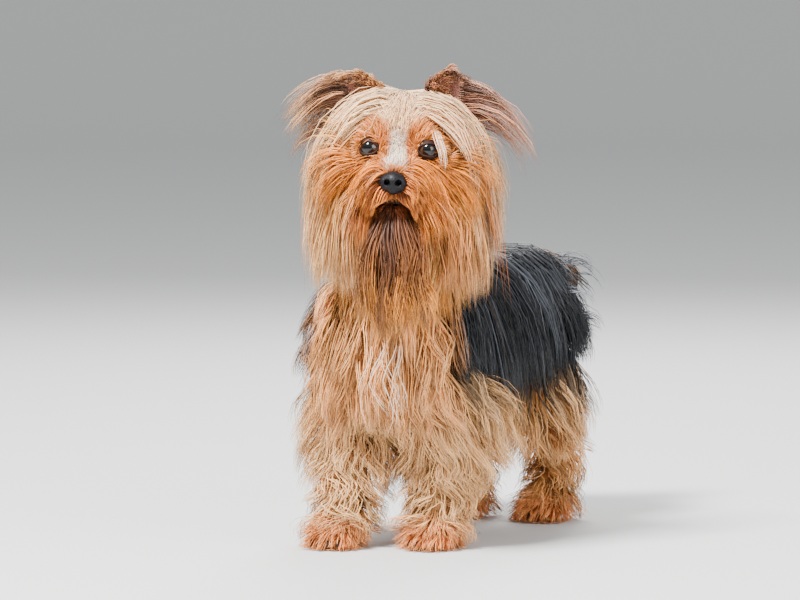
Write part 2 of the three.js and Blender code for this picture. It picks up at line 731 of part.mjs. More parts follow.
// A solid a little larger all round its middle
function swollen(solid, share) {
  const { min, max } = solid.boundingBox();
  const middle = [0, 1, 2].map((k) => (min[k] + max[k]) / 2);
  return solid.translate(middle.map((x) => -x)).scale(1 + share).translate(middle);
}

// What is left of a solid once its neighbours are cut out, with a hair's breadth more where they still touch
function cutClear(solid, grown, finished) {
  let kept = solid;
  for (const cutter of [...finished, ...grown]) {
    if (overlap(kept, cutter) > 1e-6) kept = kept.subtract(cutter);
  }
  kept = settled(kept);
  for (const share of [0.0008, 0.002, -0.002]) {
    const touching = finished.filter((neighbour) => overlap(kept, neighbour) > 1e-3);
    for (const neighbour of touching) kept = settled(kept.subtract(swollen(neighbour, share)));
  }
  return kept;
}

// A lock as long as it can be, clear of the finished nodes, or nothing where even a short one crosses them
function fitLock(piece, finished) {
  let fitted = piece;
  for (let shortening = 0; shortening < 4; shortening++) {
    const grown = fitted.make(gap);
    if (finished.every((neighbour) => overlap(grown, neighbour) < 1e-4)) return [fitted];
    fitted = fitted.shorter();
  }
  return [];
}

function build() {
  const group = new THREE.Group();
  const grown = [];
  const finished = [];
  const box = new THREE.Box3();
  for (const name of order) {
    const { material, pieces } = nodes.get(name);
    const fitted = pieces.flatMap((piece) => (piece.shorter ? fitLock(piece, finished) : [piece]));
    const whole = fitted.map((piece) => piece.make(0)).reduce((a, b) => a.add(b));
    const solid = cutClear(whole, grown, finished);
    finished.push(solid);
    grown.push(...fitted.map((piece) => piece.make(gap)));
    const mesh = new THREE.Mesh(geometryOf(solid), finishes[material]);
    mesh.name = name;
    group.add(mesh);
    box.expandByObject(mesh);
  }
  const middle = box.getCenter(V(0, 0, 0));
  group.position.set(-middle.x, -middle.y, -box.min.z);
  return group;
}

export default build();
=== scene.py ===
"""A life-size yorkshire terrier, standing square with its head raised and turned to its left.

Shapes are worked out in millimetres in the dog's own frame: it faces -Y, its left is +X and the floor
is at 0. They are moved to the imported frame, in metres, when a mesh is made. One field of blended
ellipsoids and cones is the skin. The coat is grown from it lock by lock: each lock leaves its root
along the lie, falls, and slides over the skin.
"""
import logging
import math
from collections.abc import Callable, Sequence
from dataclasses import dataclass, field
from enum import Enum

import bpy
import numpy as np
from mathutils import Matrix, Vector


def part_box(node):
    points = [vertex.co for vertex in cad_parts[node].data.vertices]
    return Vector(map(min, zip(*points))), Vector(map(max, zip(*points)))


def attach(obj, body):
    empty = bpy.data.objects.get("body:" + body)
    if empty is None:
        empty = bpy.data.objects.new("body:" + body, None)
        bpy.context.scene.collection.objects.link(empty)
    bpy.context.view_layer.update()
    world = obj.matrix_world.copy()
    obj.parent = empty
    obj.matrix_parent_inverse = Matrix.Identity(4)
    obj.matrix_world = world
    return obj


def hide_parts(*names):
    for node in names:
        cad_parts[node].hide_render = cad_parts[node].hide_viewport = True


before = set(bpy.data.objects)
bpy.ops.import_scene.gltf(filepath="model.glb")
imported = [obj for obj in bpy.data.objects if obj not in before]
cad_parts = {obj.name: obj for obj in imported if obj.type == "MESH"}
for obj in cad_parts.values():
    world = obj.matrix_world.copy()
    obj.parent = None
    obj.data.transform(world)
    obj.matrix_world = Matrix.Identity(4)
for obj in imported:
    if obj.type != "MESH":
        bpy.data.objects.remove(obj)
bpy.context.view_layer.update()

LOG = logging.getLogger("terrier")
MM = 0.001
TINY = 1e-6
FAR = math.inf
ANYWHERE = (-FAR, FAR)
DOWN = np.array([0.0, 0.0, -1.0])
SIDES = {"right": -1, "left": 1}
FIRST_SEED = 100

Points = np.ndarray
Triple = tuple[float, float, float]
Span = tuple[float, float]
Piece = bpy.types.Object
Material = bpy.types.Material
Draw = np.random.Generator


def unit(vectors: Points) -> Points:
    """Scales each vector to length 1."""
    length = np.linalg.norm(vectors, axis=-1, keepdims=True)
    return vectors / np.maximum(length, 1e-9)


def ramp(low: float, high: float, values: Points) -> Points:
    """Rises smoothly from 0 at low to 1 at high; where low is above high, it falls."""
    share = np.clip((values - low) / (high - low), 0.0, 1.0)
    return share * share * (3.0 - 2.0 * share)


def linear(red: int, green: int, blue: int) -> Points:
    """Turns a screen colour of 0 to 255 into the linear colour that shaders use."""
    share = np.array([red, green, blue], float) / 255.0
    return np.where(share <= 0.04045, share / 12.92, ((share + 0.055) / 1.055) ** 2.4)


@dataclass(frozen=True)
class HeadFrame:
    """The head's own axes: left, front and up.

    Attributes:
        turn: How far it is turned to the dog's left, in degrees.
        pitch: How far it looks up.
        roll: How far it is tipped to one side.
        centre: The skull's centre in the dog's frame, in mm.
        eye: The left eyeball's centre on the head: left, front and up.
    """

    turn: float = 21.0
    pitch: float = -2.0
    roll: float = 2.0
    centre: Triple = (26.4, -118.2, 293.6)
    eye: Triple = (20.3, 31.5, 2.0)

    def axes(self) -> Points:
        """Works out the three axes from the angles.

        Returns:
            The axes as rows: left, front, up.
        """
        turn, pitch, roll = (math.radians(a) for a in (self.turn, self.pitch, self.roll))
        front = np.array(
            [math.sin(turn) * math.cos(pitch), -math.cos(turn) * math.cos(pitch), math.sin(pitch)]
        )
        level = np.array([math.cos(turn), math.sin(turn), 0.0])
        top = -np.cross(front, level)
        top = top if top[2] > 0 else -top
        left = level * math.cos(roll) - top * math.sin(roll)
        return np.array([left, front, top * math.cos(roll) + level * math.sin(roll)])

    def out(self, *place: float) -> Points:
        """A place given as left, front, up of the skull's centre, in the dog's frame."""
        return np.array(self.centre) + np.array(place, float) @ self.axes()

    def aim(self, *direction: float) -> Points:
        """A direction given as left, front, up, in the dog's frame."""
        return np.array(direction, float) @ self.axes()

    def inside(self, points: Points) -> Points:
        """Points of the dog's frame as left, front, up of the skull's centre."""
        return (points - np.array(self.centre)) @ self.axes().T

    def eye_centre(self, side: int) -> Points:
        """The centre of the eyeball on one side."""
        left, front, up = self.eye
        return self.out(side * left, front, up)


HEAD = HeadFrame()


def packed_shift() -> Points:
    """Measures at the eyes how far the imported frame's origin is from the dog's.

    Returns:
        The shift in mm.
    """
    boxes = [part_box(f"eye_{name}") for name in SIDES]
    middles = np.array([[(a + b) / 2 for a, b in zip(low, high)] for low, high in boxes]) / MM
    nominal = np.array([HEAD.eye_centre(side) for side in SIDES.values()])
    return (middles - nominal).mean(axis=0)


SHIFT = packed_shift()


# The skin's field
@dataclass(frozen=True)
class Ball:
    """An ellipsoid along the dog's axes, or along the head's.

    Attributes:
        centre: Its middle, in mm.
        radii: Its three radii.
        on_head: Whether it is placed in the head's own axes.
    """

    centre: Triple
    radii: Triple
    on_head: bool = False

    def distance(self, points: Points) -> Points:
        """Signed distance, roughly, in mm."""
        local = HEAD.inside(points) if self.on_head else points
        near = (local - np.array(self.centre)) / np.array(self.radii)
        size = np.linalg.norm(near, axis=-1)
        slope = np.linalg.norm(near / np.array(self.radii), axis=-1)
        return size * (size - 1.0) / np.maximum(slope, TINY)


@dataclass(frozen=True)
class Limb:
    """A round cone between two points.

    Attributes:
        start: Its first end, in mm.
        end: Its other end.
        start_radius: Its radius at the first end.
        end_radius: Its radius at the other.
        on_head: Whether it is placed in the head's own axes.
    """

    start: Triple
    end: Triple
    start_radius: float
    end_radius: float
    on_head: bool = False

    def distance(self, points: Points) -> Points:
        """Signed distance, roughly, in mm."""
        local = HEAD.inside(points) if self.on_head else points
        start = np.array(self.start)
        axis = np.array(self.end) - start
        share = np.clip((local - start) @ axis / (axis @ axis), 0.0, 1.0)
        away = np.linalg.norm(local - start - share[..., None] * axis, axis=-1)
        return away - (self.start_radius + (self.end_radius - self.start_radius) * share)


def join(near: Points, other: Points, softness: float) -> Points:
    """Union of two fields, with a crease filled to the softness, in mm."""
    reach = np.maximum(softness - np.abs(near - other), 0.0) / softness
    return np.minimum(near, other) - reach * reach * softness / 4.0


def blend(shapes: Sequence, softness: float) -> Callable[[Points], Points]:
    """Soft union of many shapes.

    Args:
        shapes: Anything with a distance method.
        softness: How wide the creases between them are filled, in mm.

    Returns:
        A function from points to signed distances.
    """

    def distance(points: Points) -> Points:
        """Joins the shapes' distances one after another."""
        total = shapes[0].distance(points)
        for shape in shapes[1:]:
            total = join(total, shape.distance(points), softness)
        return total

    return distance


def both(place: tuple, radii: tuple, on_head: bool = False) -> tuple[Ball, Ball]:
    """Two alike balls, on the left and on the right."""
    x, y, z = place
    return Ball((x, y, z), radii, on_head), Ball((-x, y, z), radii, on_head)


@dataclass(frozen=True)
class Leg:
    """Where the joints of a leg are, in mm in the dog's frame.

    Attributes:
        side: -1 for the dog's right, 1 for its left.
        paw: The middle of its sole.
        ankle: The wrist or the hock.
        bend: The elbow or the knee.
        top: The point of the shoulder or the hip.
    """

    side: int
    paw: Triple
    ankle: Triple
    bend: Triple
    top: Triple


class ForeLeg(Leg):
    """A front leg."""

    def shapes(self) -> list:
        """The leg's flesh, from the shoulder to just above the paw.

        Returns:
            Its shapes.
        """
        x, y, z = self.bend
        end = (self.ankle[0], self.ankle[1] - 4, 14.0)
        return [
            Limb(self.top, self.bend, 20, 15.5),
            Limb(self.bend, self.ankle, 14.5, 10),
            Limb(self.ankle, end, 10, 10.5),
            Ball((x + 2 * self.side, y + 8, z + 12), (14, 18, 20)),
        ]


class HindLeg(Leg):
    """A back leg."""

    def shapes(self) -> list:
        """The leg's flesh, from the hip to just above the paw.

        Returns:
            Its shapes.
        """
        x, y, z = self.top
        return [
            Limb(self.top, self.bend, 30, 18),
            Limb(self.bend, self.ankle, 15, 9),
            Limb(self.ankle, (self.paw[0], self.paw[1] + 12, 14), 9, 9.5),
            Ball((x + 3 * self.side, y + 4, z - 22), (20, 33, 34)),
        ]


FORE_LEGS = {
    "right": ForeLeg(-1, (-32, -112, 0), (-31, -100, 34), (-34, -72, 92), (-31, -84, 142)),
    "left": ForeLeg(1, (33, -84, 0), (32, -74, 34), (35, -62, 94), (31, -80, 142)),
}
HIND_LEGS = {
    "right": HindLeg(-1, (-33, 94, 0), (-33, 118, 52), (-35, 66, 98), (-27, 90, 156)),
    "left": HindLeg(1, (34, 106, 0), (34, 129, 52), (36, 78, 98), (27, 94, 156)),
}
PAIRS = {"fore": FORE_LEGS, "hind": HIND_LEGS}
PAWS = {f"{pair}_{word}": legs[word] for pair, legs in PAIRS.items() for word in SIDES}
TAIL = ((0.0, 122.0, 192.0), (11.0, 147.0, 197.0), (27.0, 164.0, 190.0))
TAIL_RADII = (9.0, 6.5, 4.0)
TOE_PLACES = (-1.5, -0.5, 0.5, 1.5)
TOE_SPACING = 7.2
TOE_STEP = 2.4


def paw_shapes(leg: Leg) -> list:
    """The flesh of one paw.

    Args:
        leg: The leg that it is on.

    Returns:
        The pad, the ankle above it and four toes, the outer ones set back.
    """
    x, y, _ = leg.paw
    toes = [Ball((x + p * TOE_SPACING, y - 10 + abs(p) * TOE_STEP, 7.5), (4.6, 10, 7)) for p in TOE_PLACES]
    ankle = Limb((x, y + 5, 12), (x - leg.side, y + 9, 26), 10, 10)
    return [Ball((x, y + 3, 9), (14, 15, 10)), ankle, *toes]


def tail_shapes() -> list:
    """The tail's flesh, one tapered length after another."""
    return [Limb(TAIL[k], TAIL[k + 1], TAIL_RADII[k], TAIL_RADII[k + 1]) for k in range(len(TAIL) - 1)]


@dataclass
class Anatomy:
    """Attributes:
        step: The grid's spacing in mm.
        low: The grid's lowest corner in the dog's frame.
        high: The corner that it has to reach.
        socket: The radius of the hollow that an eyeball sits in.
        socket_crease: How softly the hollow's edge is rounded.
        sole: The height of the lowest skin.
    """

    TRUNK = (
        Ball((0, -42, 168), (43, 76, 46)),
        Ball((0, 42, 173), (36, 72, 39)),
        Ball((0, 92, 171), (41, 44, 43)),
        Ball((0, -58, 194), (24, 40, 24)),
        *both((34, -74, 156), (16, 28, 36)),
        Ball((4, -98, 158), (36, 27, 38)),
        Ball((2, -84, 128), (30, 28, 26)),
        Limb((5, -84, 194), (24, -108, 266), 37, 30),
    )
    SKULL = (
        Ball((0, -4, 8), (35, 38, 33), True),
        Ball((0, 20, 10), (27, 18, 21), True),
        *both((22, 8, -14), (15, 22, 18), True),
        Limb((0, 22, -12), (0, 50, -16), 18, 12, True),
        *both((8, 42, -23), (10, 19, 11), True),
        *both((20.5, 27, 2), (12.5, 11, 11.5), True),
    )
    JAW = (
        Limb((0, 4, -37), (0, 45, -42), 13, 7, True),
        Ball((0, 2, -34), (20, 18, 12), True),
    )
    # How wide creases are filled, in mm: within each part, and where it meets the parts before it
    WITHIN = {"trunk": 12, "skull": 8, "jaw": 8, "leg": 9, "paw": 4, "tail": 4}
    ONTO = {"skull": 10, "jaw": 3, "leg": 8, "paw": 5, "tail": 6}

    step: float = 2.0
    low: Triple = (-92.0, -206.0, -8.0)
    high: Triple = (92.0, 190.0, 350.0)
    socket: float = 8.4
    socket_crease: float = 1.5
    sole: float = 0.4

    def __post_init__(self) -> None:
        """Works out the field and its slope once on the grid."""
        low = np.array(self.low)
        counts = np.ceil((np.array(self.high) - low) / self.step).astype(int) + 1
        axes = [low[k] + self.step * np.arange(counts[k]) for k in range(3)]
        points = np.stack(np.meshgrid(*axes, indexing="ij"), axis=-1)
        self.grid = np.stack([self.distance(slab) for slab in points]).astype(np.float32)
        self.slope = np.stack(np.gradient(self.grid, self.step), axis=-1)

    def distance(self, points: Points) -> Points:
        """Signed distance to the skin, roughly.

        Args:
            points: Places in the dog's frame.

        Returns:
            Distances in mm, negative inside.
        """
        parts = [("skull", self.SKULL), ("jaw", self.JAW)]
        for leg in (*FORE_LEGS.values(), *HIND_LEGS.values()):
            parts += [("leg", leg.shapes()), ("paw", paw_shapes(leg))]
        parts.append(("tail", tail_shapes()))
        total = blend(self.TRUNK, self.WITHIN["trunk"])(points)
        for part, shapes in parts:
            total = join(total, blend(shapes, self.WITHIN[part])(points), self.ONTO[part])
        for side in SIDES.values():
            socket = np.linalg.norm(points - HEAD.eye_centre(side), axis=-1) - self.socket
            total = -join(-total, socket, self.socket_crease)
        return np.maximum(total, self.sole - points[..., 2])

    def look(self, points: Points) -> tuple[Points, Points]:
        """Distance and outward direction at each point, read from the grid.

        Args:
            points: Places in the dog's frame.

        Returns:
            The distances in mm and the unit directions away from the skin.
        """
        place = (points - np.array(self.low)) / self.step
        limit = np.array(self.grid.shape) - 2
        base = np.clip(np.floor(place).astype(int), 0, limit)
        part = np.clip(place - base, 0.0, 1.0)
        distance = np.zeros(len(points))
        slope = np.zeros((len(points), 3))
        for corner in np.ndindex(2, 2, 2):
            share = np.prod(np.where(np.array(corner) == 1, part, 1.0 - part), axis=1)
            at = tuple((base + np.array(corner)).T)
            distance += share * self.grid[at]
            slope += share[:, None] * self.slope[at]
        beyond = np.linalg.norm((place - np.clip(place, 0, limit + 1)) * self.step, axis=1)
        return distance + beyond, unit(slope)


def surface_net(values: Points, low: Points, step: float) -> tuple[Points, Points]:
    """Wraps a closed quad mesh round the region where a grid of values is negative.

    Args:
        values: The field on a grid.
        low: The grid's lowest corner.
        step: The grid's spacing.

    Returns:
        Vertices, and quads that face outwards.
    """
    inside = values < 0
    cells = tuple(n - 1 for n in values.shape)
    total = np.zeros((*cells, 3))
    count = np.zeros(cells)
    corners = list(np.ndindex(2, 2, 2))
    view = {c: tuple(slice(c[k], c[k] + cells[k]) for k in range(3)) for c in corners}
    for start in corners:
        for axis in range(3):
            if start[axis]:
                continue
            end = tuple(v + (k == axis) for k, v in enumerate(start))
            a, b = values[view[start]], values[view[end]]
            crossing = inside[view[start]] != inside[view[end]]
            share = np.where(crossing, a / np.where(crossing, a - b, 1.0), 0.0)
            for k in range(3):
                total[..., k] += crossing * (start[k] + (share if k == axis else 0.0))
            count += crossing
    active = count > 0
    index = np.full(cells, -1)
    index[active] = np.arange(active.sum())
    where = np.argwhere(active)
    vertices = low + step * (where + total[active] / count[active][:, None])
    quads = []
    for axis in range(3):
        u, v = (axis + 1) % 3, (axis + 2) % 3
        first = tuple(slice(1, cells[k]) if k != axis else slice(0, cells[k]) for k in range(3))
        second = tuple(slice(1, cells[k]) if k != axis else slice(1, cells[k] + 1) for k in range(3))
        change = inside[first] != inside[second]
        at = np.argwhere(change) + np.array([0 if k == axis else 1 for k in range(3)])
        back_u, back_v = np.eye(3, dtype=int)[u], np.eye(3, dtype=int)[v]
        ring = [at, at - back_u, at - back_u - back_v, at - back_v]
        quad = np.stack([index[tuple(r.T)] for r in ring], axis=1)
        leaving = inside[tuple(at.T)]
        quad[~leaving] = quad[~leaving][:, ::-1]
        quads.append(quad)
    return vertices, np.concatenate(quads)


def halves(quads: Points) -> Points:
    """Splits quads into triangles."""
    return np.concatenate([quads[:, [0, 1, 2]], quads[:, [0, 2, 3]]])


def place_mesh(name: str, vertices: Points, faces: Points) -> Piece:
    """Makes a smooth-shaded object at the origin from places in the dog's frame.

    Args:
        name: The object's name.
        vertices: Places in mm.
        faces: Triangles or quads, one row each.

    Returns:
        The object, linked to the scene.
    """
    mesh = bpy.data.meshes.new(name)
    mesh.vertices.add(len(vertices))
    mesh.vertices.foreach_set("co", ((vertices + SHIFT) * MM).astype(np.float32).ravel())
    sides = faces.shape[1]
    mesh.loops.add(faces.size)
    mesh.loops.foreach_set("vertex_index", faces.astype(np.int32).ravel())
    mesh.polygons.add(len(faces))
    mesh.polygons.foreach_set("loop_start", np.arange(0, faces.size, sides, dtype=np.int32))
    mesh.polygons.foreach_set("use_smooth", np.full(len(faces), True))
    mesh.update(calc_edges=True)
    mesh.validate()
    made = bpy.data.objects.new(name, mesh)
    bpy.context.scene.collection.objects.link(made)
    return made


def paint(piece: Piece, colours: Points) -> None:
    """Stores one linear colour for each vertex as the attribute that coat materials read.

    Args:
        piece: The object.
        colours: Its vertices' colours.
    """
    layer = piece.data.color_attributes.new("coat_colour", "FLOAT_COLOR", "POINT")
    rows = np.concatenate([np.clip(colours, 0, 1), np.ones((len(colours), 1))], axis=1)
    layer.data.foreach_set("color", rows.astype(np.float32).ravel())


# Markings
class Tint:
    """The coat's colours, linear."""

    PALE = linear(255, 236, 214)
    CREAM = linear(255, 208, 158)
    BLOND = linear(250, 188, 108)
    GOLD = linear(234, 148, 48)
    RUST = linear(206, 112, 20)
    FOX = linear(142, 66, 22)
    UMBER = linear(100, 56, 28)
    TAUPE = linear(166, 114, 80)
    MAUVE = linear(112, 78, 70)
    STEEL = linear(5, 7, 11)
    # Grey of the steel coat, and partly a painted highlight where the black hair reflects the sky.
    SILVER_AND_HIGHLIGHT = linear(120, 124, 132)
    FAWN = linear(246, 162, 78)
    LEG = linear(255, 196, 128)
    PAW = linear(244, 148, 80)
    EAR_SKIN = linear(122, 74, 62)


def mix(first: Points, second: Points, share: Points) -> Points:
    """Blends colours row by row."""
    share = np.asarray(share)[..., None]
    return first * (1.0 - share) + second * share


def markings(points: Points) -> Points:
    """The coat's colour at its root, over the whole skin, with painted shade under the moustache, under the
    mouth and between the hind legs.

    Args:
        points: Places in the dog's frame.

    Returns:
        One linear colour for each place.
    """
    x, y, z = points.T
    colour = np.broadcast_to(Tint.STEEL, points.shape).copy()
    front = ramp(-84, -104, y) * ramp(262, 236, z)
    colour = mix(colour, Tint.FAWN, front)
    patch = ramp(20, 12, np.linalg.norm(points - np.array([-34, -92, 176]), axis=1))
    colour = mix(colour, Tint.STEEL * 1.5, patch * 0.9)
    low = ramp(138, 112, z)
    colour = mix(colour, Tint.LEG, low * ramp(20, 0, y))
    hind = ramp(0, 20, y) * ramp(128, 100, z)
    colour = mix(colour, 0.5 * (Tint.GOLD + Tint.LEG), hind)
    # Painted shade: the inner side of the hind legs, between them and under the belly, is darkened to umber.
    inner = hind * ramp(26, 14, np.abs(x))
    colour = mix(colour, Tint.UMBER * 1.6, inner * 0.7)
    colour = mix(colour, Tint.PAW, ramp(34, 14, z))
    neck = ramp(212, 236, z) * ramp(-30, -70, y)
    colour = mix(colour, Tint.GOLD, neck)
    left, ahead, up = HEAD.inside(points).T
    on_head = ramp(70, 58, np.linalg.norm(HEAD.inside(points) - np.array([0, 12, -6]), axis=1))
    on_head *= ramp(-58, -46, up)
    face = mix(np.broadcast_to(Tint.BLOND, points.shape), Tint.CREAM, ramp(0, 24, up))
    face = mix(face, Tint.TAUPE, 0.55 * ramp(16, 30, left) * ramp(10, -8, up))
    muzzle = ramp(20, 36, ahead) * ramp(8, -2, up)
    eyes = np.minimum(
        np.linalg.norm(points - HEAD.eye_centre(-1), axis=1),
        np.linalg.norm(points - HEAD.eye_centre(1), axis=1),
    )
    face = mix(face, Tint.RUST, np.maximum(muzzle, ramp(24, 15, eyes) * ramp(36, 28, np.abs(left))))
    # Painted shade: the lower muzzle is darkened to fox under the moustache, round the mouth.
    face = mix(face, Tint.FOX, 0.95 * muzzle * ramp(-4, -22, up))
    tuft = ramp(8.5, 4.5, np.abs(left)) * ramp(-12, -7, up) * ramp(15, 9, up) * ramp(16, 26, ahead)
    face = mix(face, Tint.PALE, tuft)
    cheek = ramp(18, 28, np.abs(left)) * ramp(0, -16, up)
    face = mix(face, Tint.GOLD, cheek * 0.6)
    # Darker umber under the mouth: partly the beard's own stain, partly painted shade beneath the lips.
    mouth = ramp(-28, -35, up) * ramp(26, 38, ahead)
    face = mix(face, Tint.UMBER, mouth)
    return mix(colour, face, on_head)


# Materials
def material(name: str) -> tuple[Material, bpy.types.Node, Callable]:
    """Starts a material with one Principled shader.

    Args:
        name: The material's name.

    Returns:
        The material, its shader, and a function that adds a node by its type.
    """
    made = bpy.data.materials.new(name)
    made.use_nodes = True
    return made, made.node_tree.nodes["Principled BSDF"], made.node_tree.nodes.new


def fill(node: bpy.types.Node, values: dict[str, float | tuple]) -> None:
    """Sets a node's inputs to the values given by their names."""
    for name, value in values.items():
        node.inputs[name].default_value = value


def wire(tree: bpy.types.NodeTree, *joints: tuple) -> None:
    """Joins sockets, each row a node, its output, the next node and its input."""
    for start, output, end, entry in joints:
        tree.links.new(start.outputs[output], end.inputs[entry])


def set_ramp(node: bpy.types.Node, stops: dict[float, Triple]) -> None:
    """Gives a colour ramp its stops.

    Args:
        node: The ramp.
        stops: The colour at each place, from the lowest to the highest.
    """
    elements = node.color_ramp.elements
    first, *between, last = stops
    for element, place in ((elements[0], first), (elements[-1], last)):
        element.position = place
        element.color = (*stops[place], 1)
    for place in between:
        elements.new(place).color = (*stops[place], 1)


def strand_variation() -> bpy.types.NodeTree:
    """A shared group that breaks a colour up along fine streaks.

    Returns:
        The group, with inputs Colour, Scale and Amount, and outputs Colour and Height.
    """
    group = bpy.data.node_groups.new("strand_variation", "ShaderNodeTree")
    face = group.interface
    face.new_socket("Colour", in_out="INPUT", socket_type="NodeSocketColor")
    for name, value in (("Scale", 900.0), ("Amount", 0.3)):
        face.new_socket(name, in_out="INPUT", socket_type="NodeSocketFloat").default_value = value
    face.new_socket("Colour", in_out="OUTPUT", socket_type="NodeSocketColor")
    face.new_socket("Height", in_out="OUTPUT", socket_type="NodeSocketFloat")
    add = group.nodes.new
    start, end = add("NodeGroupInput"), add("NodeGroupOutput")
    place, noise, spread = add("ShaderNodeTexCoord"), add("ShaderNodeTexNoise"), add("ShaderNodeMapRange")
    dark, light, scaled = add("ShaderNodeMath"), add("ShaderNodeMath"), add("ShaderNodeVectorMath")
    fill(noise, {"Detail": 4.0, "Roughness": 0.65})
    fill(spread, {"From Min": 0.3, "From Max": 0.7})
    for node, operation in ((dark, "SUBTRACT"), (light, "ADD")):
        node.operation = operation
        node.inputs[0].default_value = 1.0
    scaled.operation = "SCALE"
    wire(
        group,
        (place, "Object", noise, "Vector"),
        (start, "Scale", noise, "Scale"),
        (noise, "Fac", spread, "Value"),
        (start, "Amount", dark, 1),
        (start, "Amount", light, 1),
        (dark, 0, spread, "To Min"),
        (light, 0, spread, "To Max"),
        (start, "Colour", scaled, 0),
        (spread, "Result", scaled, "Scale"),
        (scaled, "Vector", end, "Colour"),
        (noise, "Fac", end, "Height"),
    )
    return group


@dataclass(frozen=True)
class HairFinish:
    """Hair or skin that takes its colour from the markings.

    Attributes:
        name: The material's name.
        roughness: How matt it is.
        streak: The scale of the streaks, each metre.
        contrast: How strong the streaks are.
        bump: The height of the streaks, in metres.
        sheen: How much light the fibres catch at a grazing angle.
    """

    name: str
    roughness: float = 0.5
    streak: float = 700.0
    contrast: float = 0.22
    bump: float = 0.0002
    sheen: float = 0.03

    def make(self, group: bpy.types.NodeTree) -> Material:
        """Builds the material.

        Args:
            group: The shared streak group.

        Returns:
            The material.
        """
        made, shader, add = material(self.name)
        colour, streaks, bump = add("ShaderNodeAttribute"), add("ShaderNodeGroup"), add("ShaderNodeBump")
        colour.attribute_name = "coat_colour"
        streaks.node_tree = group
        fill(streaks, {"Scale": self.streak, "Amount": self.contrast})
        fill(bump, {"Distance": self.bump, "Strength": 0.6})
        fill(shader, {"Roughness": self.roughness, "Specular IOR Level": 0.3})
        fill(shader, {"Sheen Weight": self.sheen, "Sheen Roughness": 0.45})
        wire(
            made.node_tree,
            (colour, "Color", streaks, "Colour"),
            (streaks, "Colour", shader, "Base Color"),
            (streaks, "Height", bump, "Height"),
            (bump, "Normal", shader, "Normal"),
        )
        return made


def grained(
    name: str, kind: str, output: str, scale: float, stops: dict[float, tuple], depth: float
) -> tuple[Material, bpy.types.Node, bpy.types.Node, bpy.types.Node]:
    """Starts a material whose colour and height both follow one texture.

    Args:
        name: The material's name.
        kind: The texture's type of node.
        output: The texture's output that is followed.
        scale: The texture's scale, each metre.
        stops: The colours along the texture's values.
        depth: The height of the grain, in metres.

    Returns:
        The material, its shader, the texture and the bump.
    """
    made, shader, add = material(name)
    place, texture = add("ShaderNodeTexCoord"), add(kind)
    tone, bump = add("ShaderNodeValToRGB"), add("ShaderNodeBump")
    fill(texture, {"Scale": scale})
    fill(bump, {"Distance": depth})
    set_ramp(tone, stops)
    wire(
        made.node_tree,
        (place, "Object", texture, "Vector"),
        (texture, output, tone, "Fac"),
        (tone, "Color", shader, "Base Color"),
        (texture, output, bump, "Height"),
        (bump, "Normal", shader, "Normal"),
    )
    return made, shader, texture, bump


@dataclass(frozen=True)
class NoseFinish:
    """Black leather with fine cells, a little moist.

    Attributes:
        name: The material's name.
        cell: How many cells there are along a metre.
        groove: The depth between the cells, in metres.
        dark: The colour between the cells.
        light: The colour of the cells.
        full: The share of a cell's width at which it has its own colour.
    """

    name: str = "nose_leather"
    cell: float = 950.0
    groove: float = 0.00035
    dark: Triple = (0.003, 0.0028, 0.003)
    light: Triple = (0.010, 0.0095, 0.012)
    full: float = 0.25

    def make(self) -> Material:
        """Builds the material.

        Returns:
            The material.
        """
        stops = {0.0: self.dark, self.full: self.light}
        made, shader, cells, bump = grained(
            self.name, "ShaderNodeTexVoronoi", "Distance", self.cell, stops, self.groove
        )
        cells.feature = "DISTANCE_TO_EDGE"
        fill(bump, {"Strength": 0.8})
        fill(shader, {"Roughness": 0.42, "Specular IOR Level": 0.14})
        fill(shader, {"Coat Weight": 0.05, "Coat Roughness": 0.25})
        return made


@dataclass(frozen=True)
class RimFinish:
    """Bare dark skin: the lids, the lips and the claws.

    Attributes:
        name: The material's name.
        colour: Its middle colour.
        roughness: How matt it is.
        grain: The scale of its grain, each metre.
        depth: The height of its grain, in metres.
        darkest: The share of its colour in the hollows.
        lightest: The share of its colour on the ridges.
    """

    name: str
    colour: Triple = (0.02, 0.008, 0.005)
    roughness: float = 0.55
    grain: float = 600.0
    depth: float = 0.00015
    darkest: float = 0.6
    lightest: float = 1.7

    def make(self) -> Material:
        """Builds the material.

        Returns:
            The material.
        """
        low, high = (tuple(c * share for c in self.colour) for share in (self.darkest, self.lightest))
        made, shader, noise, _ = grained(
            self.name, "ShaderNodeTexNoise", "Fac", self.grain, {0.0: low, 1.0: high}, self.depth
        )
        fill(noise, {"Detail": 3.0})
        fill(shader, {"Roughness": self.roughness, "Specular IOR Level": 0.15})
        return made


@dataclass(frozen=True)
class EyeFinish:
    """A dark brown iris round a black pupil, under a wet clear front.

    Attributes:
        name: The material's name.
    """

    # From the middle of the pupil, over the iris, to the back of the ball
    RINGS = {
        0.0: (0.002, 0.0015, 0.001),
        0.34: (0.003, 0.002, 0.0015),
        0.42: (0.05, 0.021, 0.009),
        0.62: (0.03, 0.013, 0.006),
        0.74: (0.008, 0.004, 0.003),
        1.0: (0.006, 0.004, 0.003),
    }

    name: str = "eye_gloss"

    def make(self) -> Material:
        """Builds the material, which reads the eye's own rings from its attribute.

        Returns:
            The material.
        """
        made, shader, add = material(self.name)
        rings, tone = add("ShaderNodeAttribute"), add("ShaderNodeValToRGB")
        rings.attribute_name = "ring"
        set_ramp(tone, self.RINGS)
        fill(shader, {"Roughness": 0.12, "Specular IOR Level": 0.25})
        fill(shader, {"Coat Weight": 0.55, "Coat Roughness": 0.02})
        wire(made.node_tree, (rings, "Fac", tone, "Fac"), (tone, "Color", shader, "Base Color"))
        return made


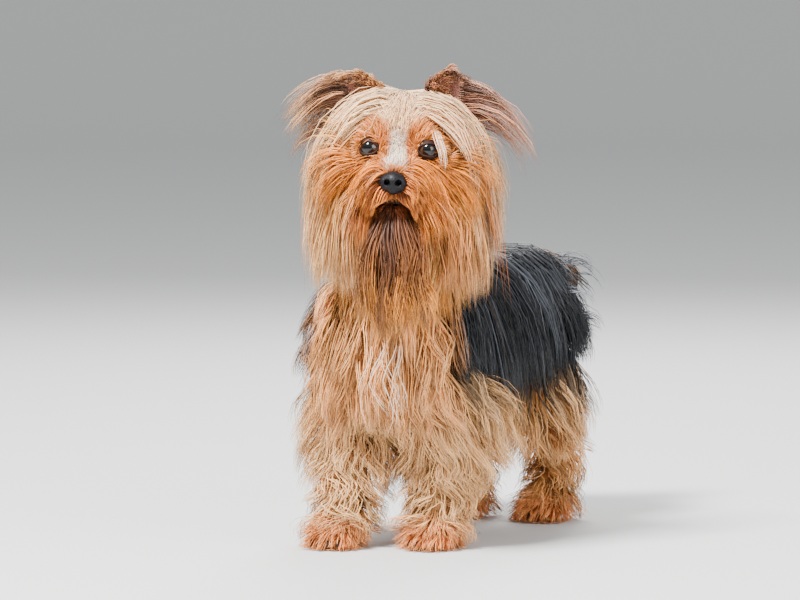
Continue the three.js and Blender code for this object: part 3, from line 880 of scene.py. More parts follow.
# The bare parts of the head
def grid_faces(rows: int, columns: int, closed: bool) -> Points:
    """Quads between the points of a grid.

    Args:
        rows: How many rows the grid has.
        columns: How many points each row has.
        closed: Whether the last point of each row is joined to the first.

    Returns:
        The quads' corners.
    """
    across = columns if closed else columns - 1
    r, c = np.meshgrid(np.arange(rows - 1), np.arange(across), indexing="ij")
    n = (c + 1) % columns
    quads = [r * columns + c, r * columns + n, (r + 1) * columns + n, (r + 1) * columns + c]
    return np.stack(quads, axis=-1).reshape(-1, 4)


def ring_corners(count: int) -> tuple[Points, Points]:
    """The corners of a ring, and the next corner after each."""
    ring = np.arange(count)
    return ring, (ring + 1) % count


def side_word(side: int) -> str:
    """The name of a side."""
    return "left" if side > 0 else "right"


def put_on(piece: Piece, finish: Material, slot: str, *nodes: str) -> None:
    """Dresses a finished piece and ties it to the frame.

    Args:
        piece: The object.
        finish: Its material.
        slot: The record's slot that it would take its finish from; not used.
        nodes: The frame's nodes that it stands for.
    """
    piece.data.materials.append(finish)
    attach(piece, "root")
    if nodes:
        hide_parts(*nodes)
    piece.data.calc_loop_triangles()
    LOG.info("%s: %d triangles", piece.name, len(piece.data.loop_triangles))


@dataclass
class Eye:
    """One eyeball with its lids.

    Attributes:
        side: -1 for the dog's right, 1 for its left.
        radius: The eyeball's radius in mm.
        bulge: How far its clear front stands out.
        bulge_width: How wide the clear front is, in radians from its middle.
        splay: How far it looks outward, as a share of ahead.
        rise: How far it looks up, as a share of ahead.
        corner: How far the opening reaches to each corner, in degrees.
        upper: How far it reaches up.
        lower: How far it reaches down.
        hidden: How far the lids reach round the ball, across and up.
        lid_gap: How far the lids lie over the ball, in mm.
    """

    # A lid's section, from its inside round the edge and over its outside: the share of the way from
    # the opening to the hidden end, and how far it stands over the ball, in mm
    INSIDE = ((0.55, 0.1), (0.0, 0.12))
    OUTSIDE = ((-0.03, 0.4), (0.05, 0.7), (0.18, 0.75), (0.4, 0.7), (0.75, 0.5), (1.0, 0.1))

    side: int
    radius: float = 8.0
    bulge: float = 0.7
    bulge_width: float = 0.62
    splay: float = 0.3
    rise: float = 0.04
    corner: float = 55.0
    upper: float = 32.0
    lower: float = 28.0
    hidden: Span = (96.0, 92.0)
    lid_gap: float = 0.25

    def axes(self) -> Points:
        """Works out how the eye stands.

        Returns:
            Across, up and ahead, as rows.
        """
        ahead = unit(HEAD.aim(self.side * self.splay, 1.0, self.rise))
        across = unit(np.cross(HEAD.aim(0, 0, 1), ahead)) * -self.side
        return np.array([across, np.cross(ahead, across) * -self.side, ahead])

    def ball(self, name: str) -> Piece:
        """Makes the eyeball, with its rings as an attribute.

        Args:
            name: The piece's name.

        Returns:
            The piece.
        """
        rows, columns = 36, 48
        away = np.linspace(0.0, math.pi, rows + 2)[1:-1]
        turn = np.linspace(0.0, 2 * math.pi, columns, endpoint=False)
        a, t = np.meshgrid(away, turn, indexing="ij")
        reach = self.radius + self.bulge * np.exp(-((a / self.bulge_width) ** 4))
        local = np.stack([np.sin(a) * np.cos(t), np.sin(a) * np.sin(t), np.cos(a)], axis=-1)
        points = (local * reach[..., None]).reshape(-1, 3)
        poles = np.array([[0, 0, self.radius + self.bulge], [0, 0, -self.radius]])
        points = np.concatenate([points, poles]) @ self.axes() + HEAD.eye_centre(self.side)
        front, back = rows * columns, rows * columns + 1
        last = (rows - 1) * columns
        ring, after = ring_corners(columns)
        fans = [
            np.stack([np.full(columns, front), ring, after], axis=1),
            np.stack([last + ring, np.full(columns, back), last + after], axis=1),
        ]
        tris = np.concatenate([halves(grid_faces(rows, columns, closed=True)), *fans])
        piece = place_mesh(name, points, outward(points, tris))
        values = np.concatenate([a.ravel() / (math.pi / 2) * 0.9, [0.0, 1.0]])
        layer = piece.data.attributes.new("ring", "FLOAT", "POINT")
        layer.data.foreach_set("value", np.clip(values, 0, 1).astype(np.float32))
        return piece

    def lids(self, name: str) -> Piece:
        """Makes both lids as one closed band round the opening, thick at its edge.

        Args:
            name: The piece's name.

        Returns:
            The piece.
        """
        columns = 64
        turn = np.linspace(0.0, 2 * math.pi, columns, endpoint=False)
        height = np.where(np.sin(turn) > 0, self.upper, self.lower)
        edge = np.stack([np.cos(turn) * self.corner, np.sin(turn) * height], axis=1)
        outer = np.stack([np.cos(turn), np.sin(turn)], axis=1) * np.array(self.hidden)
        rings = []
        for share, lift in (*self.INSIDE, *self.OUTSIDE):
            angles = np.radians(edge * (1 - share) + outer * share)
            tilt = np.linalg.norm(angles, axis=1)
            way = angles / np.maximum(tilt, TINY)[:, None]
            local = np.stack([np.sin(tilt) * way[:, 0], np.sin(tilt) * way[:, 1], np.cos(tilt)], axis=1)
            rings.append(local * (self.radius + self.lid_gap + lift))
        points = np.concatenate(rings) @ self.axes() + HEAD.eye_centre(self.side)
        quads = grid_faces(len(rings), columns, closed=True)
        last = (len(rings) - 1) * columns
        ring, after = ring_corners(columns)
        closing = np.stack([last + ring, last + after, after, ring], axis=1)
        return place_mesh(name, points, np.concatenate([quads, closing])[:, ::-self.side])

    def build(self, ball: Material, rim: Material) -> None:
        """Makes and dresses the eyeball and the lids.

        Args:
            ball: The eyeball's material.
            rim: The lids' material.
        """
        word = side_word(self.side)
        put_on(self.ball(f"eyeball_{word}"), ball, "eye", f"eye_{word}")
        put_on(self.lids(f"lids_{word}"), rim, "nose_leather", "head")


def outward(points: Points, tris: Points) -> Points:
    """Turns triangles of a rounded closed shape to face away from its middle.

    Args:
        points: The shape's vertices.
        tris: Its triangles.

    Returns:
        The triangles, all facing outwards.
    """
    a, b, c = (points[tris[:, k]] for k in range(3))
    facing = np.einsum("ij,ij->i", np.cross(b - a, c - a), (a + b + c) / 3 - points.mean(axis=0))
    turned = tris.copy()
    turned[facing < 0] = turned[facing < 0][:, ::-1]
    return turned


@dataclass
class Nose:
    """The leather of the nose, with nostrils that curl out to the sides and a groove below.

    Attributes:
        ahead: How far its middle is in front of the skull's centre, in mm.
        height: Its middle's height on the head.
        step: The spacing of the grid that it is worked out on.
        low: The grid's lowest corner, from the nose's middle.
        span: The grid's size.
    """

    ahead: float = 63.0
    height: float = -19.3
    step: float = 0.4
    low: Triple = (-13.0, -12.0, -13.0)
    span: Triple = (26.0, 26.0, 24.0)

    def distance(self, points: Points) -> Points:
        """Signed distance to the leather.

        Args:
            points: Places in the head's own axes.

        Returns:
            Distances in mm, negative inside.
        """
        f, u = self.ahead, self.height
        wings = [Ball((s * 6.2, f - 0.6, u - 0.8), (4.6, 6.6, 5.8)) for s in SIDES.values()]
        pad = blend([Ball((0, f, u + 0.4), (8.2, 8.4, 7.4)), *wings, Ball((0, f + 1, u - 5), (4, 6, 4))], 3)
        total = pad(points)
        cuts = []
        for s in SIDES.values():
            cuts.append((Limb((s * 3.9, f + 9.5, u - 0.6), (s * 4.4, f + 3, u + 0.2), 2.6, 1.7), 1.0))
            cuts.append((Limb((s * 4.6, f + 8.8, u - 2.4), (s * 10.2, f + 3.6, u - 3.6), 1.6, 1.0), 0.8))
        cuts.append((Limb((0, f + 9.2, u - 1.5), (0, f + 6.5, u - 10), 0.55, 0.8), 0.9))
        for cut, softness in cuts:
            total = -join(-total, cut.distance(points), softness)
        return total

    def build(self, finish: Material) -> None:
        """Makes and dresses the nose.

        Args:
            finish: Its material.
        """
        low = np.array([0.0, self.ahead, self.height]) + np.array(self.low)
        counts = (np.array(self.span) / self.step).astype(int)
        axes = [low[k] + self.step * np.arange(counts[k]) for k in range(3)]
        points = np.stack(np.meshgrid(*axes, indexing="ij"), axis=-1)
        vertices, quads = surface_net(self.distance(points), low, self.step)
        placed = vertices @ HEAD.axes() + np.array(HEAD.centre)
        mirrored = np.linalg.det(HEAD.axes()) < 0
        piece = place_mesh("nose_pad", placed, quads[:, ::-1] if mirrored else quads)
        put_on(piece, finish, "nose_leather", "nose")


@dataclass
class Mouth:
    """The dark edges of both lips.

    Attributes:
        upper: Points along the upper lip, from the middle to the corner, on the head.
        lower: Points along the lower lip.
        radius: The radius of a lip at its middle, in mm.
        points: How many points a lip has along it.
        sides: How many faces it has round it.
    """

    upper: tuple = ((0, 54.5, -33.0), (5, 54.5, -34.0), (10, 52.0, -34.6), (14, 46, -35.2), (15.5, 36, -35.6))
    lower: tuple = ((0, 53.0, -34.6), (5, 52.5, -35.2), (9, 50.5, -35.6), (12.5, 45, -36.0), (14, 36, -36.2))
    radius: float = 0.85
    points: int = 40
    sides: int = 10

    def tube(self, name: str, half: tuple, finish: Material) -> None:
        """Makes one lip as a closed tube, thinner to the corners.

        Args:
            name: The piece's name.
            half: Its points from the middle to the corner.
            finish: Its material.
        """
        places = [(-x, y, z) for x, y, z in half[:0:-1]] + list(half)
        route = smooth_line([HEAD.out(*p) for p in places], self.points)
        radii = self.radius * np.sin(np.linspace(0.12, math.pi - 0.12, len(route))) ** 0.4
        vertices, faces = tube_mesh(route, radii, self.sides)
        put_on(place_mesh(name, vertices, faces), finish, "nose_leather", "jaw")

    def build(self, finish: Material) -> None:
        """Makes both lips."""
        self.tube("lip_upper", self.upper, finish)
        self.tube("lip_lower", self.lower, finish)


def smooth_line(points: list, count: int) -> Points:
    """Draws a smooth line through points.

    Args:
        points: The points that it goes through.
        count: How many places are wanted.

    Returns:
        The places, as many between any two points.
    """
    given = np.array(points, float)
    padded = np.concatenate([[2 * given[0] - given[1]], given, [2 * given[-1] - given[-2]]])
    place = np.linspace(0, len(given) - 1, count)
    base = np.minimum(place.astype(int), len(given) - 2)
    t = (place - base)[:, None]
    a, b, c, d = (padded[base + k] for k in range(4))
    return 0.5 * (2 * b + (c - a) * t + (2 * a - 5 * b + 4 * c - d) * t**2 + (3 * b - a - 3 * c + d) * t**3)


def tube_mesh(route: Points, radii: Points, sides: int) -> tuple[Points, Points]:
    """A closed tube of triangles along a route.

    Args:
        route: Its middle line.
        radii: Its radius at each point.
        sides: How many faces it has round it.

    Returns:
        Vertices and outward triangles.
    """
    along = unit(np.gradient(route, axis=0))
    first = unit(np.cross(along, np.array([0.13, 0.21, 0.97])))
    second = np.cross(along, first)
    turn = np.linspace(0, 2 * math.pi, sides, endpoint=False)
    ring = first[:, None] * np.cos(turn)[:, None] + second[:, None] * np.sin(turn)[:, None]
    body = (route[:, None] + ring * radii[:, None, None]).reshape(-1, 3)
    vertices = np.concatenate([body, route[[0, -1]]])
    at, after = ring_corners(sides)
    last = (len(route) - 1) * sides
    start = np.stack([np.full(sides, len(body)), after, at], axis=1)
    end = np.stack([last + at, last + after, np.full(sides, len(body) + 1)], axis=1)
    return vertices, np.concatenate([halves(grid_faces(len(route), sides, closed=True)), start, end])


@dataclass
class Ear:
    """A cupped leaf of skin that stands on the skull and opens forward.

    Attributes:
        side: -1 for the dog's right, 1 for its left.
        half_width: Half its width near the base, in mm.
        cup: How deep its hollow is at the base.
        tip_cup: How deep its hollow still is at the tip.
        thickness: How thick it is.
        foot: Where the left ear's base is on the head.
        splay: How far it opens outward, as a share of ahead.
    """

    # The tips on the head: the right ear leans out a little further than the left
    TIPS = {-1: (-39, -4, 52), 1: (33, -4, 57)}

    side: int
    half_width: float = 15.0
    cup: float = 8.0
    tip_cup: float = 0.8
    thickness: float = 1.8
    foot: Triple = (23, -4, 22)
    splay: float = 0.3

    def along(self, share: Points) -> Points:
        """Places on the ear's middle line.

        Args:
            share: From 0 at the base to 1 at the tip.

        Returns:
            The places in the dog's frame.
        """
        left, ahead, up = self.foot
        base = HEAD.out(self.side * left, ahead, up)
        return base + (HEAD.out(*self.TIPS[self.side]) - base) * np.asarray(share)[..., None]

    def axes(self) -> Points:
        """Works out how the ear stands.

        Returns:
            Across, out of the hollow, and along the ear, as rows.
        """
        facing = unit(HEAD.aim(self.side * self.splay, 1.0, 0.1))
        axis = unit(self.along(1.0) - self.along(0.0))
        across = unit(np.cross(axis, facing))
        return np.array([across, np.cross(across, axis), axis])

    def surface(self, u: Points, share: Points, lift: float = 0.0) -> Points:
        """Places on the leaf.

        Args:
            u: From -1 at one edge to 1 at the other.
            share: From 0 at the base to 1 at the tip.
            lift: How far in front of the leaf's middle, in mm.

        Returns:
            The places in the dog's frame.
        """
        across, out, _ = self.axes()
        half = self.half_width * np.power(1.02 - np.power(share, 1.7), 0.6)
        hollow = self.cup * (1 - share) + self.tip_cup
        side = (u * half)[..., None] * across
        return self.along(share) + side + (lift - hollow * (1 - u * u))[..., None] * out

    def build(self, finish: Material) -> None:
        """Makes and dresses the leaf, its back and front joined round the edge.

        Args:
            finish: Its material.
        """
        rows, columns = 26, 18
        share, u = np.meshgrid(np.linspace(0, 0.99, rows), np.linspace(-1, 1, columns), indexing="ij")
        half = self.thickness / 2
        leaf = [self.surface(u, share, -half), self.surface(u[:, ::-1], share, half)]
        rings = np.concatenate(leaf, axis=1).reshape(-1, 3)
        around = 2 * columns
        faces = [grid_faces(rows, around, closed=True)]
        for row in (0, rows - 1):
            at = row * around + np.arange(columns)
            other = row * around + around - 1 - np.arange(columns)
            cap = np.stack([at[:-1], other[:-1], other[1:], at[1:]], axis=1)
            faces.append(cap if row == 0 else cap[:, ::-1])
        word = side_word(self.side)
        piece = place_mesh(f"ear_leather_{word}", rings, np.concatenate(faces))
        fix_facing(piece)
        height = np.repeat(share[:, :1], around, axis=1).ravel()
        inner = np.tile(np.concatenate([np.zeros(columns), np.ones(columns)]), rows)
        skin = mix(np.broadcast_to(Tint.TAUPE, rings.shape), Tint.EAR_SKIN, inner)
        # Painted shade: darker towards the base, where the ear sits deep in the hair against the skull.
        paint(piece, skin * (0.45 + 0.5 * height)[:, None])
        put_on(piece, finish, "coat_rust", f"ear_{word}")


def fix_facing(piece: Piece) -> None:
    """Turns a closed mesh inside out if its volume is negative.

    Args:
        piece: The object that holds the mesh.
    """
    mesh = piece.data
    mesh.calc_loop_triangles()
    corners = np.zeros(len(mesh.loop_triangles) * 3, np.int32)
    mesh.loop_triangles.foreach_get("vertices", corners)
    places = np.zeros(len(mesh.vertices) * 3, np.float32)
    mesh.vertices.foreach_get("co", places)
    a, b, c = places.reshape(-1, 3)[corners.reshape(-1, 3)].transpose(1, 0, 2)
    if np.einsum("ij,ij->i", a, np.cross(b, c)).sum() < 0:
        mesh.flip_normals()


@dataclass
class Skin:
    """The one skin that takes the place of all the flesh.

    Attributes:
        body: The field that it is wrapped round.
        tone: How dark it is painted, as a share of the coat's colour at its roots: painted shade, so that the
            skin seen between the locks reads as shadow.
        settle: The share of the way to the field's surface that its points move in one round.
    """

    NODES = ("torso", "chest", "neck", "head", "jaw", "tail")
    PARTS = ("fore_leg", "hind_leg", "paw_fore", "paw_hind")


    body: Anatomy
    tone: float = 0.55
    settle: float = 0.8

    def __post_init__(self) -> None:
        """Wraps the field in a mesh and draws its points onto the field itself."""
        self.vertices, self.quads = surface_net(self.body.grid, np.array(self.body.low), self.body.step)
        for _ in range(2):
            depth = self.body.distance(self.vertices)
            _, out = self.body.look(self.vertices)
            self.vertices = self.vertices - out * (depth * self.settle)[:, None]
        self.tris = halves(self.quads)

    def build(self, finish: Material) -> None:
        """Makes and dresses the skin, painted a little darker than the coat's roots as painted shade under
        the coat.

        Args:
            finish: Its material.
        """
        piece = place_mesh("skin", self.vertices, self.quads)
        fix_facing(piece)
        # Painted shade: the skin is darkened under the coat so that the gaps between the locks read as
        # shadow.
        paint(piece, markings(self.vertices) * self.tone)
        limbs = [f"{part}_{word}" for part in self.PARTS for word in SIDES]
        put_on(piece, finish, "coat_cream", *self.NODES, *limbs)


@dataclass(frozen=True)
class Gap:
    """An oval in front of the head that the coat goes round.

    Attributes:
        across: Its middle to the left, in mm.
        up: Its middle's height.
        wide: Half its width.
        tall: Half its height.
        ahead: How far forward it starts.
    """

    across: float
    up: float
    wide: float
    tall: float
    ahead: float

    def push(self, local: Points) -> Points:
        """Moves points out to the oval's edge.

        Args:
            local: Points in the head's own axes, which are changed.

        Returns:
            The same points.
        """
        sideways = (local[:, 0] - self.across) / self.wide
        offset = np.stack([sideways, (local[:, 2] - self.up) / self.tall], axis=1)
        size = np.linalg.norm(offset, axis=1)
        inside = (size < 1) & (local[:, 1] > self.ahead)
        push = np.where(inside, 1.0 / np.maximum(size, 0.05), 1.0)
        local[:, 0] = self.across + offset[:, 0] * push * self.wide
        local[:, 2] = self.up + offset[:, 1] * push * self.tall
        return local


EYE_GAPS = tuple(Gap(side * HEAD.eye[0], HEAD.eye[2] + 0.3, 7.2, 4.6, 20.0) for side in SIDES.values())
NOSE_GAP = Gap(0.0, Nose.height, 11.0, 10.0, 50.0)
LIP_LINE = Gap(0.0, -34.2, 14.0, 2.0, 40.0)
FACE_GAPS = (*EYE_GAPS, NOSE_GAP, LIP_LINE)
LIP_GAPS = (*EYE_GAPS, Gap(0.0, Nose.height, 10.5, 9.6, 50.0), Gap(0.0, -42.2, 14.0, 9.3, 34.0))
OPENING = Gap(0.0, -8.0, 34.0, 31.0, 10.0)


# The coat
class Lie(Enum):
    """Which way the coat leaves the skin."""

    FLANK = "down the side from the parting along the back"
    DOWN = "straight down"
    CROWN = "out from the parting over the skull"
    FACE = "away from the nose, back and outward"
    MOUSTACHE = "out to the side of the muzzle, then down"
    BEARD = "down and a little forward"
    EAR = "outward from the ear's edge"
    FORELOCK = "forward and down between the eyes"
    LEG = "down and outward round the leg"
    WISP = "out behind the rump"
    TAIL = "back and down"
    PAW = "forward and down over the toes"


ON_HEAD = (Lie.CROWN, Lie.FACE, Lie.MOUSTACHE, Lie.BEARD, Lie.FORELOCK)


def around_head(points: Points) -> tuple[Points, Points, Points, Points]:
    """Finds places on the head.

    Args:
        points: Places in the dog's frame.

    Returns:
        Left, front and up on the head, and 1 where a place belongs to the head.
    """
    local = HEAD.inside(points)
    away = np.linalg.norm((local - np.array([0, 10, -4])) / np.array([1.0, 1.25, 1.0]), axis=1)
    return (*local.T, (away < 50) * (local[:, 2] > -50) * 1.0)


def from_eye(left: Points, up: Points) -> Points:
    """How far places on the head's front are from the middle of the nearer eye."""
    return np.hypot(np.abs(left) - HEAD.eye[0], up - HEAD.eye[2])


def outside(side: int, start: float) -> Span:
    """The bounds of all that is further to one side than a distance."""
    return (start, FAR) if side > 0 else (-FAR, -start)


class Axes(Enum):
    """Which axes a region's bounds are in, and which skin it counts."""

    DOG = "the dog's own, for all its skin"
    OFF_HEAD = "the dog's own, without the head"
    HEAD = "the head's, for the head alone"


@dataclass(frozen=True)
class Region:
    """A stretch of skin between bounds, in mm.

    Attributes:
        across: The least and greatest place to the left.
        along: The same to the back or, on the head, to the front.
        height: The same upward.
        axes: Which axes these are in.
        facing: An axis, and the range over which the share rises with the skin's direction on it.
        more: Gives a further share from the same three places.
    """

    across: Span = ANYWHERE
    along: Span = ANYWHERE
    height: Span = ANYWHERE
    axes: Axes = Axes.DOG
    facing: tuple[int, float, float] | None = None
    more: Callable[[Points, Points, Points], Points] | None = None

    def share(self, points: Points, normals: Points) -> Points:
        """Gives each place its share of locks.

        Args:
            points: Places in the dog's frame.
            normals: The outward direction at each.

        Returns:
            The shares, 0 outside the region.
        """
        *local, head = around_head(points)
        if self.axes is not Axes.HEAD:
            local = points.T
        share = {Axes.DOG: np.ones(len(points)), Axes.OFF_HEAD: 1 - head, Axes.HEAD: head}[self.axes]
        for places, (low, high) in zip(local, (self.across, self.along, self.height)):
            share = share * ((places > low) & (places < high))
        if self.more:
            share = share * self.more(*local)
        if self.facing:
            axis, low, high = self.facing
            share = share * ramp(low, high, normals[:, axis])
        return share


@dataclass
class Patch:
    """One stretch of coat and how it grows.

    Attributes:
        name: The piece's name.
        nodes: The frame's nodes that it stands for.
        slot: The name of the record's slot for it.
        count: How many locks it has.
        where: The stretch of skin that it grows on.
        lie: Which way the locks leave the skin.
        length: Gives each root its lock's length in mm.
        width: A lock's width in mm.
        segments: How many lengths a lock is made of.
        weight: How strongly it falls.
        lift: How steeply it leaves the skin.
        layers: The lowest and highest it lies over the skin, in mm.
        wave: How far it swings from side to side, in mm.
        waves: How many swings it has.
        clump: How far apart the middles of clumps are, in mm.
        gather: How closely a clump draws together at its tips.
        tip: The colour that its tips run to.
        fade: How far they run to it.
        late: How late along the lock they do; 1 is evenly.
        tone: How much locks differ in brightness.
        gaps: The ovals of the head that it keeps clear.
        ear: The ear that it grows on, if it grows on one.
    """

    name: str
    nodes: tuple[str, ...]
    slot: str
    count: int
    where: Region
    lie: Lie
    length: Callable[[Points], Points]
    width: float = 1.2
    segments: int = 6
    weight: float = 0.5
    lift: float = 0.25
    layers: Span = (1.5, 9.0)
    wave: float = 0.8
    waves: float = 1.5
    clump: float = 7.0
    gather: float = 0.6
    tip: Points = field(default_factory=lambda: Tint.BLOND)
    fade: float = 0.4
    late: float = 0.8
    tone: float = 0.3
    gaps: tuple[Gap, ...] = FACE_GAPS
    ear: Ear | None = None


def columns_of(*parts: Points | float) -> Points:
    """Stacks three columns, each an array or one number, as rows."""
    return np.stack(np.broadcast_arrays(*parts), axis=1)


@dataclass
class Coat:
    """Grows patches of coat over the skin.

    Attributes:
        skin: The skin that it grows from.
        finish: The material of every lock.
        root_depth: How far each root is sunk, in mm.
        root_lift: How far over the skin a lock starts to bend.
        stray: How much the starting directions differ.
        shares: The least and greatest share of its patch's length that a lock has.
        floor: The lowest a lock may come while it grows, in mm.
        tip_floor: The lowest it may come once it waves.
        side_limit: Where the coat on the dog's right starts to be held in.
        side_yield: The share of its reach that it keeps past there.
        full_swing: The length from which a lock waves in full, in mm.
        least_swing: The share of the wave that the shortest locks keep.
        root_shade: How dark the roots are painted, as a share: painted shade where the locks shade one
            another near the skin.
        brightest: The highest value that a colour may have.
        tuft_span: The size of each lock's part of the map.
    """

    skin: Skin
    finish: Material
    root_depth: float = 1.2
    root_lift: float = 0.2
    stray: float = 0.1
    shares: Span = (0.72, 1.1)
    floor: float = 1.2
    tip_floor: float = 1.0
    side_limit: float = -86.0
    side_yield: float = 0.4
    full_swing: float = 30.0
    least_swing: float = 0.15
    root_shade: float = 0.38
    brightest: float = 0.96
    tuft_span: float = 0.003

    def __post_init__(self) -> None:
        """Measures the skin's triangles."""
        a, b, c = (self.skin.vertices[self.skin.tris[:, k]] for k in range(3))
        self.look = self.skin.body.look
        self.middles = (a + b + c) / 3
        self.areas = np.linalg.norm(np.cross(b - a, c - a), axis=1) / 2
        self.normals = self.look(self.middles)[1]

    def roots(self, patch: Patch, draw: Draw) -> tuple[Points, Points]:
        """Draws the roots of a patch.

        Args:
            patch: Where they are wanted.
            draw: The seeded draw.

        Returns:
            The roots' places and their outward directions.
        """
        if patch.ear:
            return self.ear_roots(patch, draw)
        weight = self.areas * patch.where.share(self.middles, self.normals)
        chosen = draw.choice(len(weight), size=patch.count, p=weight / weight.sum())
        first, second = draw.random((2, patch.count))
        fold = first + second > 1
        first[fold], second[fold] = 1 - first[fold], 1 - second[fold]
        a, b, c = (self.skin.vertices[self.skin.tris[chosen, k]] for k in range(3))
        places = a + (b - a) * first[:, None] + (c - a) * second[:, None]
        return places, self.look(places)[1]

    @staticmethod
    def ear_roots(patch: Patch, draw: Draw) -> tuple[Points, Points]:
        """Draws roots over both faces of an ear, most of them near its edge and tip.

        Args:
            patch: The patch, with its ear.
            draw: The seeded draw.

        Returns:
            The roots' places and their outward directions.
        """
        ear = patch.ear
        share = draw.random(patch.count) ** 0.8 * 0.95
        u = np.clip(draw.normal(0, 0.75, patch.count), -0.97, 0.97)
        behind = draw.random(patch.count) < 0.55
        lift = np.where(behind, -0.5, 0.5) * ear.thickness
        across, out, axis = ear.axes()
        places = np.stack([ear.surface(u[i], share[i], lift[i]) for i in range(patch.count)])
        facing = np.where(behind, -1.0, 1.0)[:, None] * out + (u * 0.7)[:, None] * across + 0.3 * axis
        return places, unit(facing)

    @staticmethod
    def start(patch: Patch, places: Points, normals: Points) -> Points:
        """Works out the direction in which each lock leaves its root.

        Args:
            patch: How they grow.
            places: Their roots.
            normals: The outward direction at each root.

        Returns:
            The unit directions.
        """
        x, y, z = places.T
        left, ahead, up = HEAD.inside(places).T
        match patch.lie:
            case Lie.FLANK:
                sag = np.clip((np.abs(x) - 6) / 24, 0, 1)
                lie = columns_of(np.sign(x) * (1.1 - sag), 0.14 + 0.1 * ramp(90, 125, y), -0.15 - sag)
            case Lie.CROWN:
                lie = columns_of(np.sign(left + 0.01), 0.1 - 0.02 * ahead, -0.1 - 0.02 * np.abs(left))
            case Lie.FORELOCK:
                lie = columns_of(0.0 * left, 0.6, -1.0)
            case Lie.FACE:
                beside = (np.abs(left) - HEAD.eye[0]) * np.sign(left)
                away = unit(columns_of(beside, 0.0, up - HEAD.eye[2]))
                near = ramp(24, 12, np.hypot(beside, up - HEAD.eye[2]))[:, None]
                lie = columns_of(left * 0.06, -0.6, 0.55 + 0.02 * (up + 4)) + 1.2 * near * away
            case Lie.MOUSTACHE:
                rise = 0.7 * ramp(-16, 2, up) - 0.9 * ramp(-12, -30, up)
                lie = columns_of(np.sign(left) * (0.9 + 0.02 * np.abs(left)), 0.1, rise)
            case Lie.BEARD:
                lie = columns_of(left * 0.02, 0.45, -1.0)
            case Lie.EAR:
                across, _, axis = patch.ear.axes()
                spread = (places - HEAD.out(patch.ear.side * 29, -4, 34)) @ across
                side = HEAD.aim(0.16 + patch.ear.side * 0.68, 0, 0)
                lie = axis * 0.6 + across * (spread * 0.08)[:, None] + side
            case Lie.TAIL:
                lie = columns_of(0.4 * np.sign(x), 0.45, -0.8)
            case Lie.PAW:
                lie = columns_of(0.25 * normals[:, 0], -0.7, -0.6)
            case Lie.LEG:
                flare = 1.1 + 1.1 * ramp(60, 105, z)
                behind = np.where(normals[:, 1] > 0, 0.2, 0.7)
                lie = columns_of(flare * normals[:, 0], behind * normals[:, 1], -1.0)
            case Lie.WISP:
                lie = columns_of(0.8 * np.sign(x) + 0.2, 0.9, 0.15)
            case _:
                lie = columns_of(0.35 * normals[:, 0], 0.3 * normals[:, 1], -1.0)
        if patch.lie in ON_HEAD:
            lie = lie @ HEAD.axes()
        flat = lie - normals * np.einsum("ij,ij->i", lie, normals)[:, None]
        return unit(unit(flat) + patch.lift * normals)

    def grow(self, patch: Patch, places: Points, normals: Points, draw: Draw) -> Points:
        """Lets every lock leave the skin, fall and slide.

        Args:
            patch: How they grow.
            places: Their roots.
            normals: The outward direction at each root.
            draw: The seeded draw.

        Returns:
            Each lock's points, from its sunk root to its tip.
        """
        count = len(places)
        lengths = patch.length(places) * draw.uniform(*self.shares, count)
        step = (lengths / patch.segments)[:, None]
        way = unit(self.start(patch, places, normals) + draw.normal(0, self.stray, (count, 3)))
        layer = draw.uniform(*patch.layers, count)
        now = places + normals * self.root_lift
        path = [places - normals * self.root_depth, now.copy()]
        for k in range(patch.segments):
            share = (k + 1) / patch.segments
            way = unit(way + DOWN * patch.weight * (0.4 + share))
            now = now + way * step
            wanted = layer * min(1.0, 0.35 + 1.3 * share)
            for _ in range(2):
                depth, out = self.look(now)
                now = now + out * np.maximum(wanted - depth, 0.0)[:, None]
            now = self.clear_face(patch, now)
            now[:, 2] = np.maximum(now[:, 2], self.floor)
            way = unit(now - path[-1])
            path.append(now.copy())
        return np.stack(path, axis=1)

    @staticmethod
    def clear_face(patch: Patch, points: Points) -> Points:
        """Moves points out of the space before the eyes, the nose and the mouth.

        Args:
            patch: The patch, with the gaps that it keeps clear.
            points: Places in the dog's frame.

        Returns:
            The places, moved.
        """
        if not patch.gaps:
            return points
        local = HEAD.inside(points)
        for gap in patch.gaps:
            local = gap.push(local)
        return local @ HEAD.axes() + np.array(HEAD.centre)

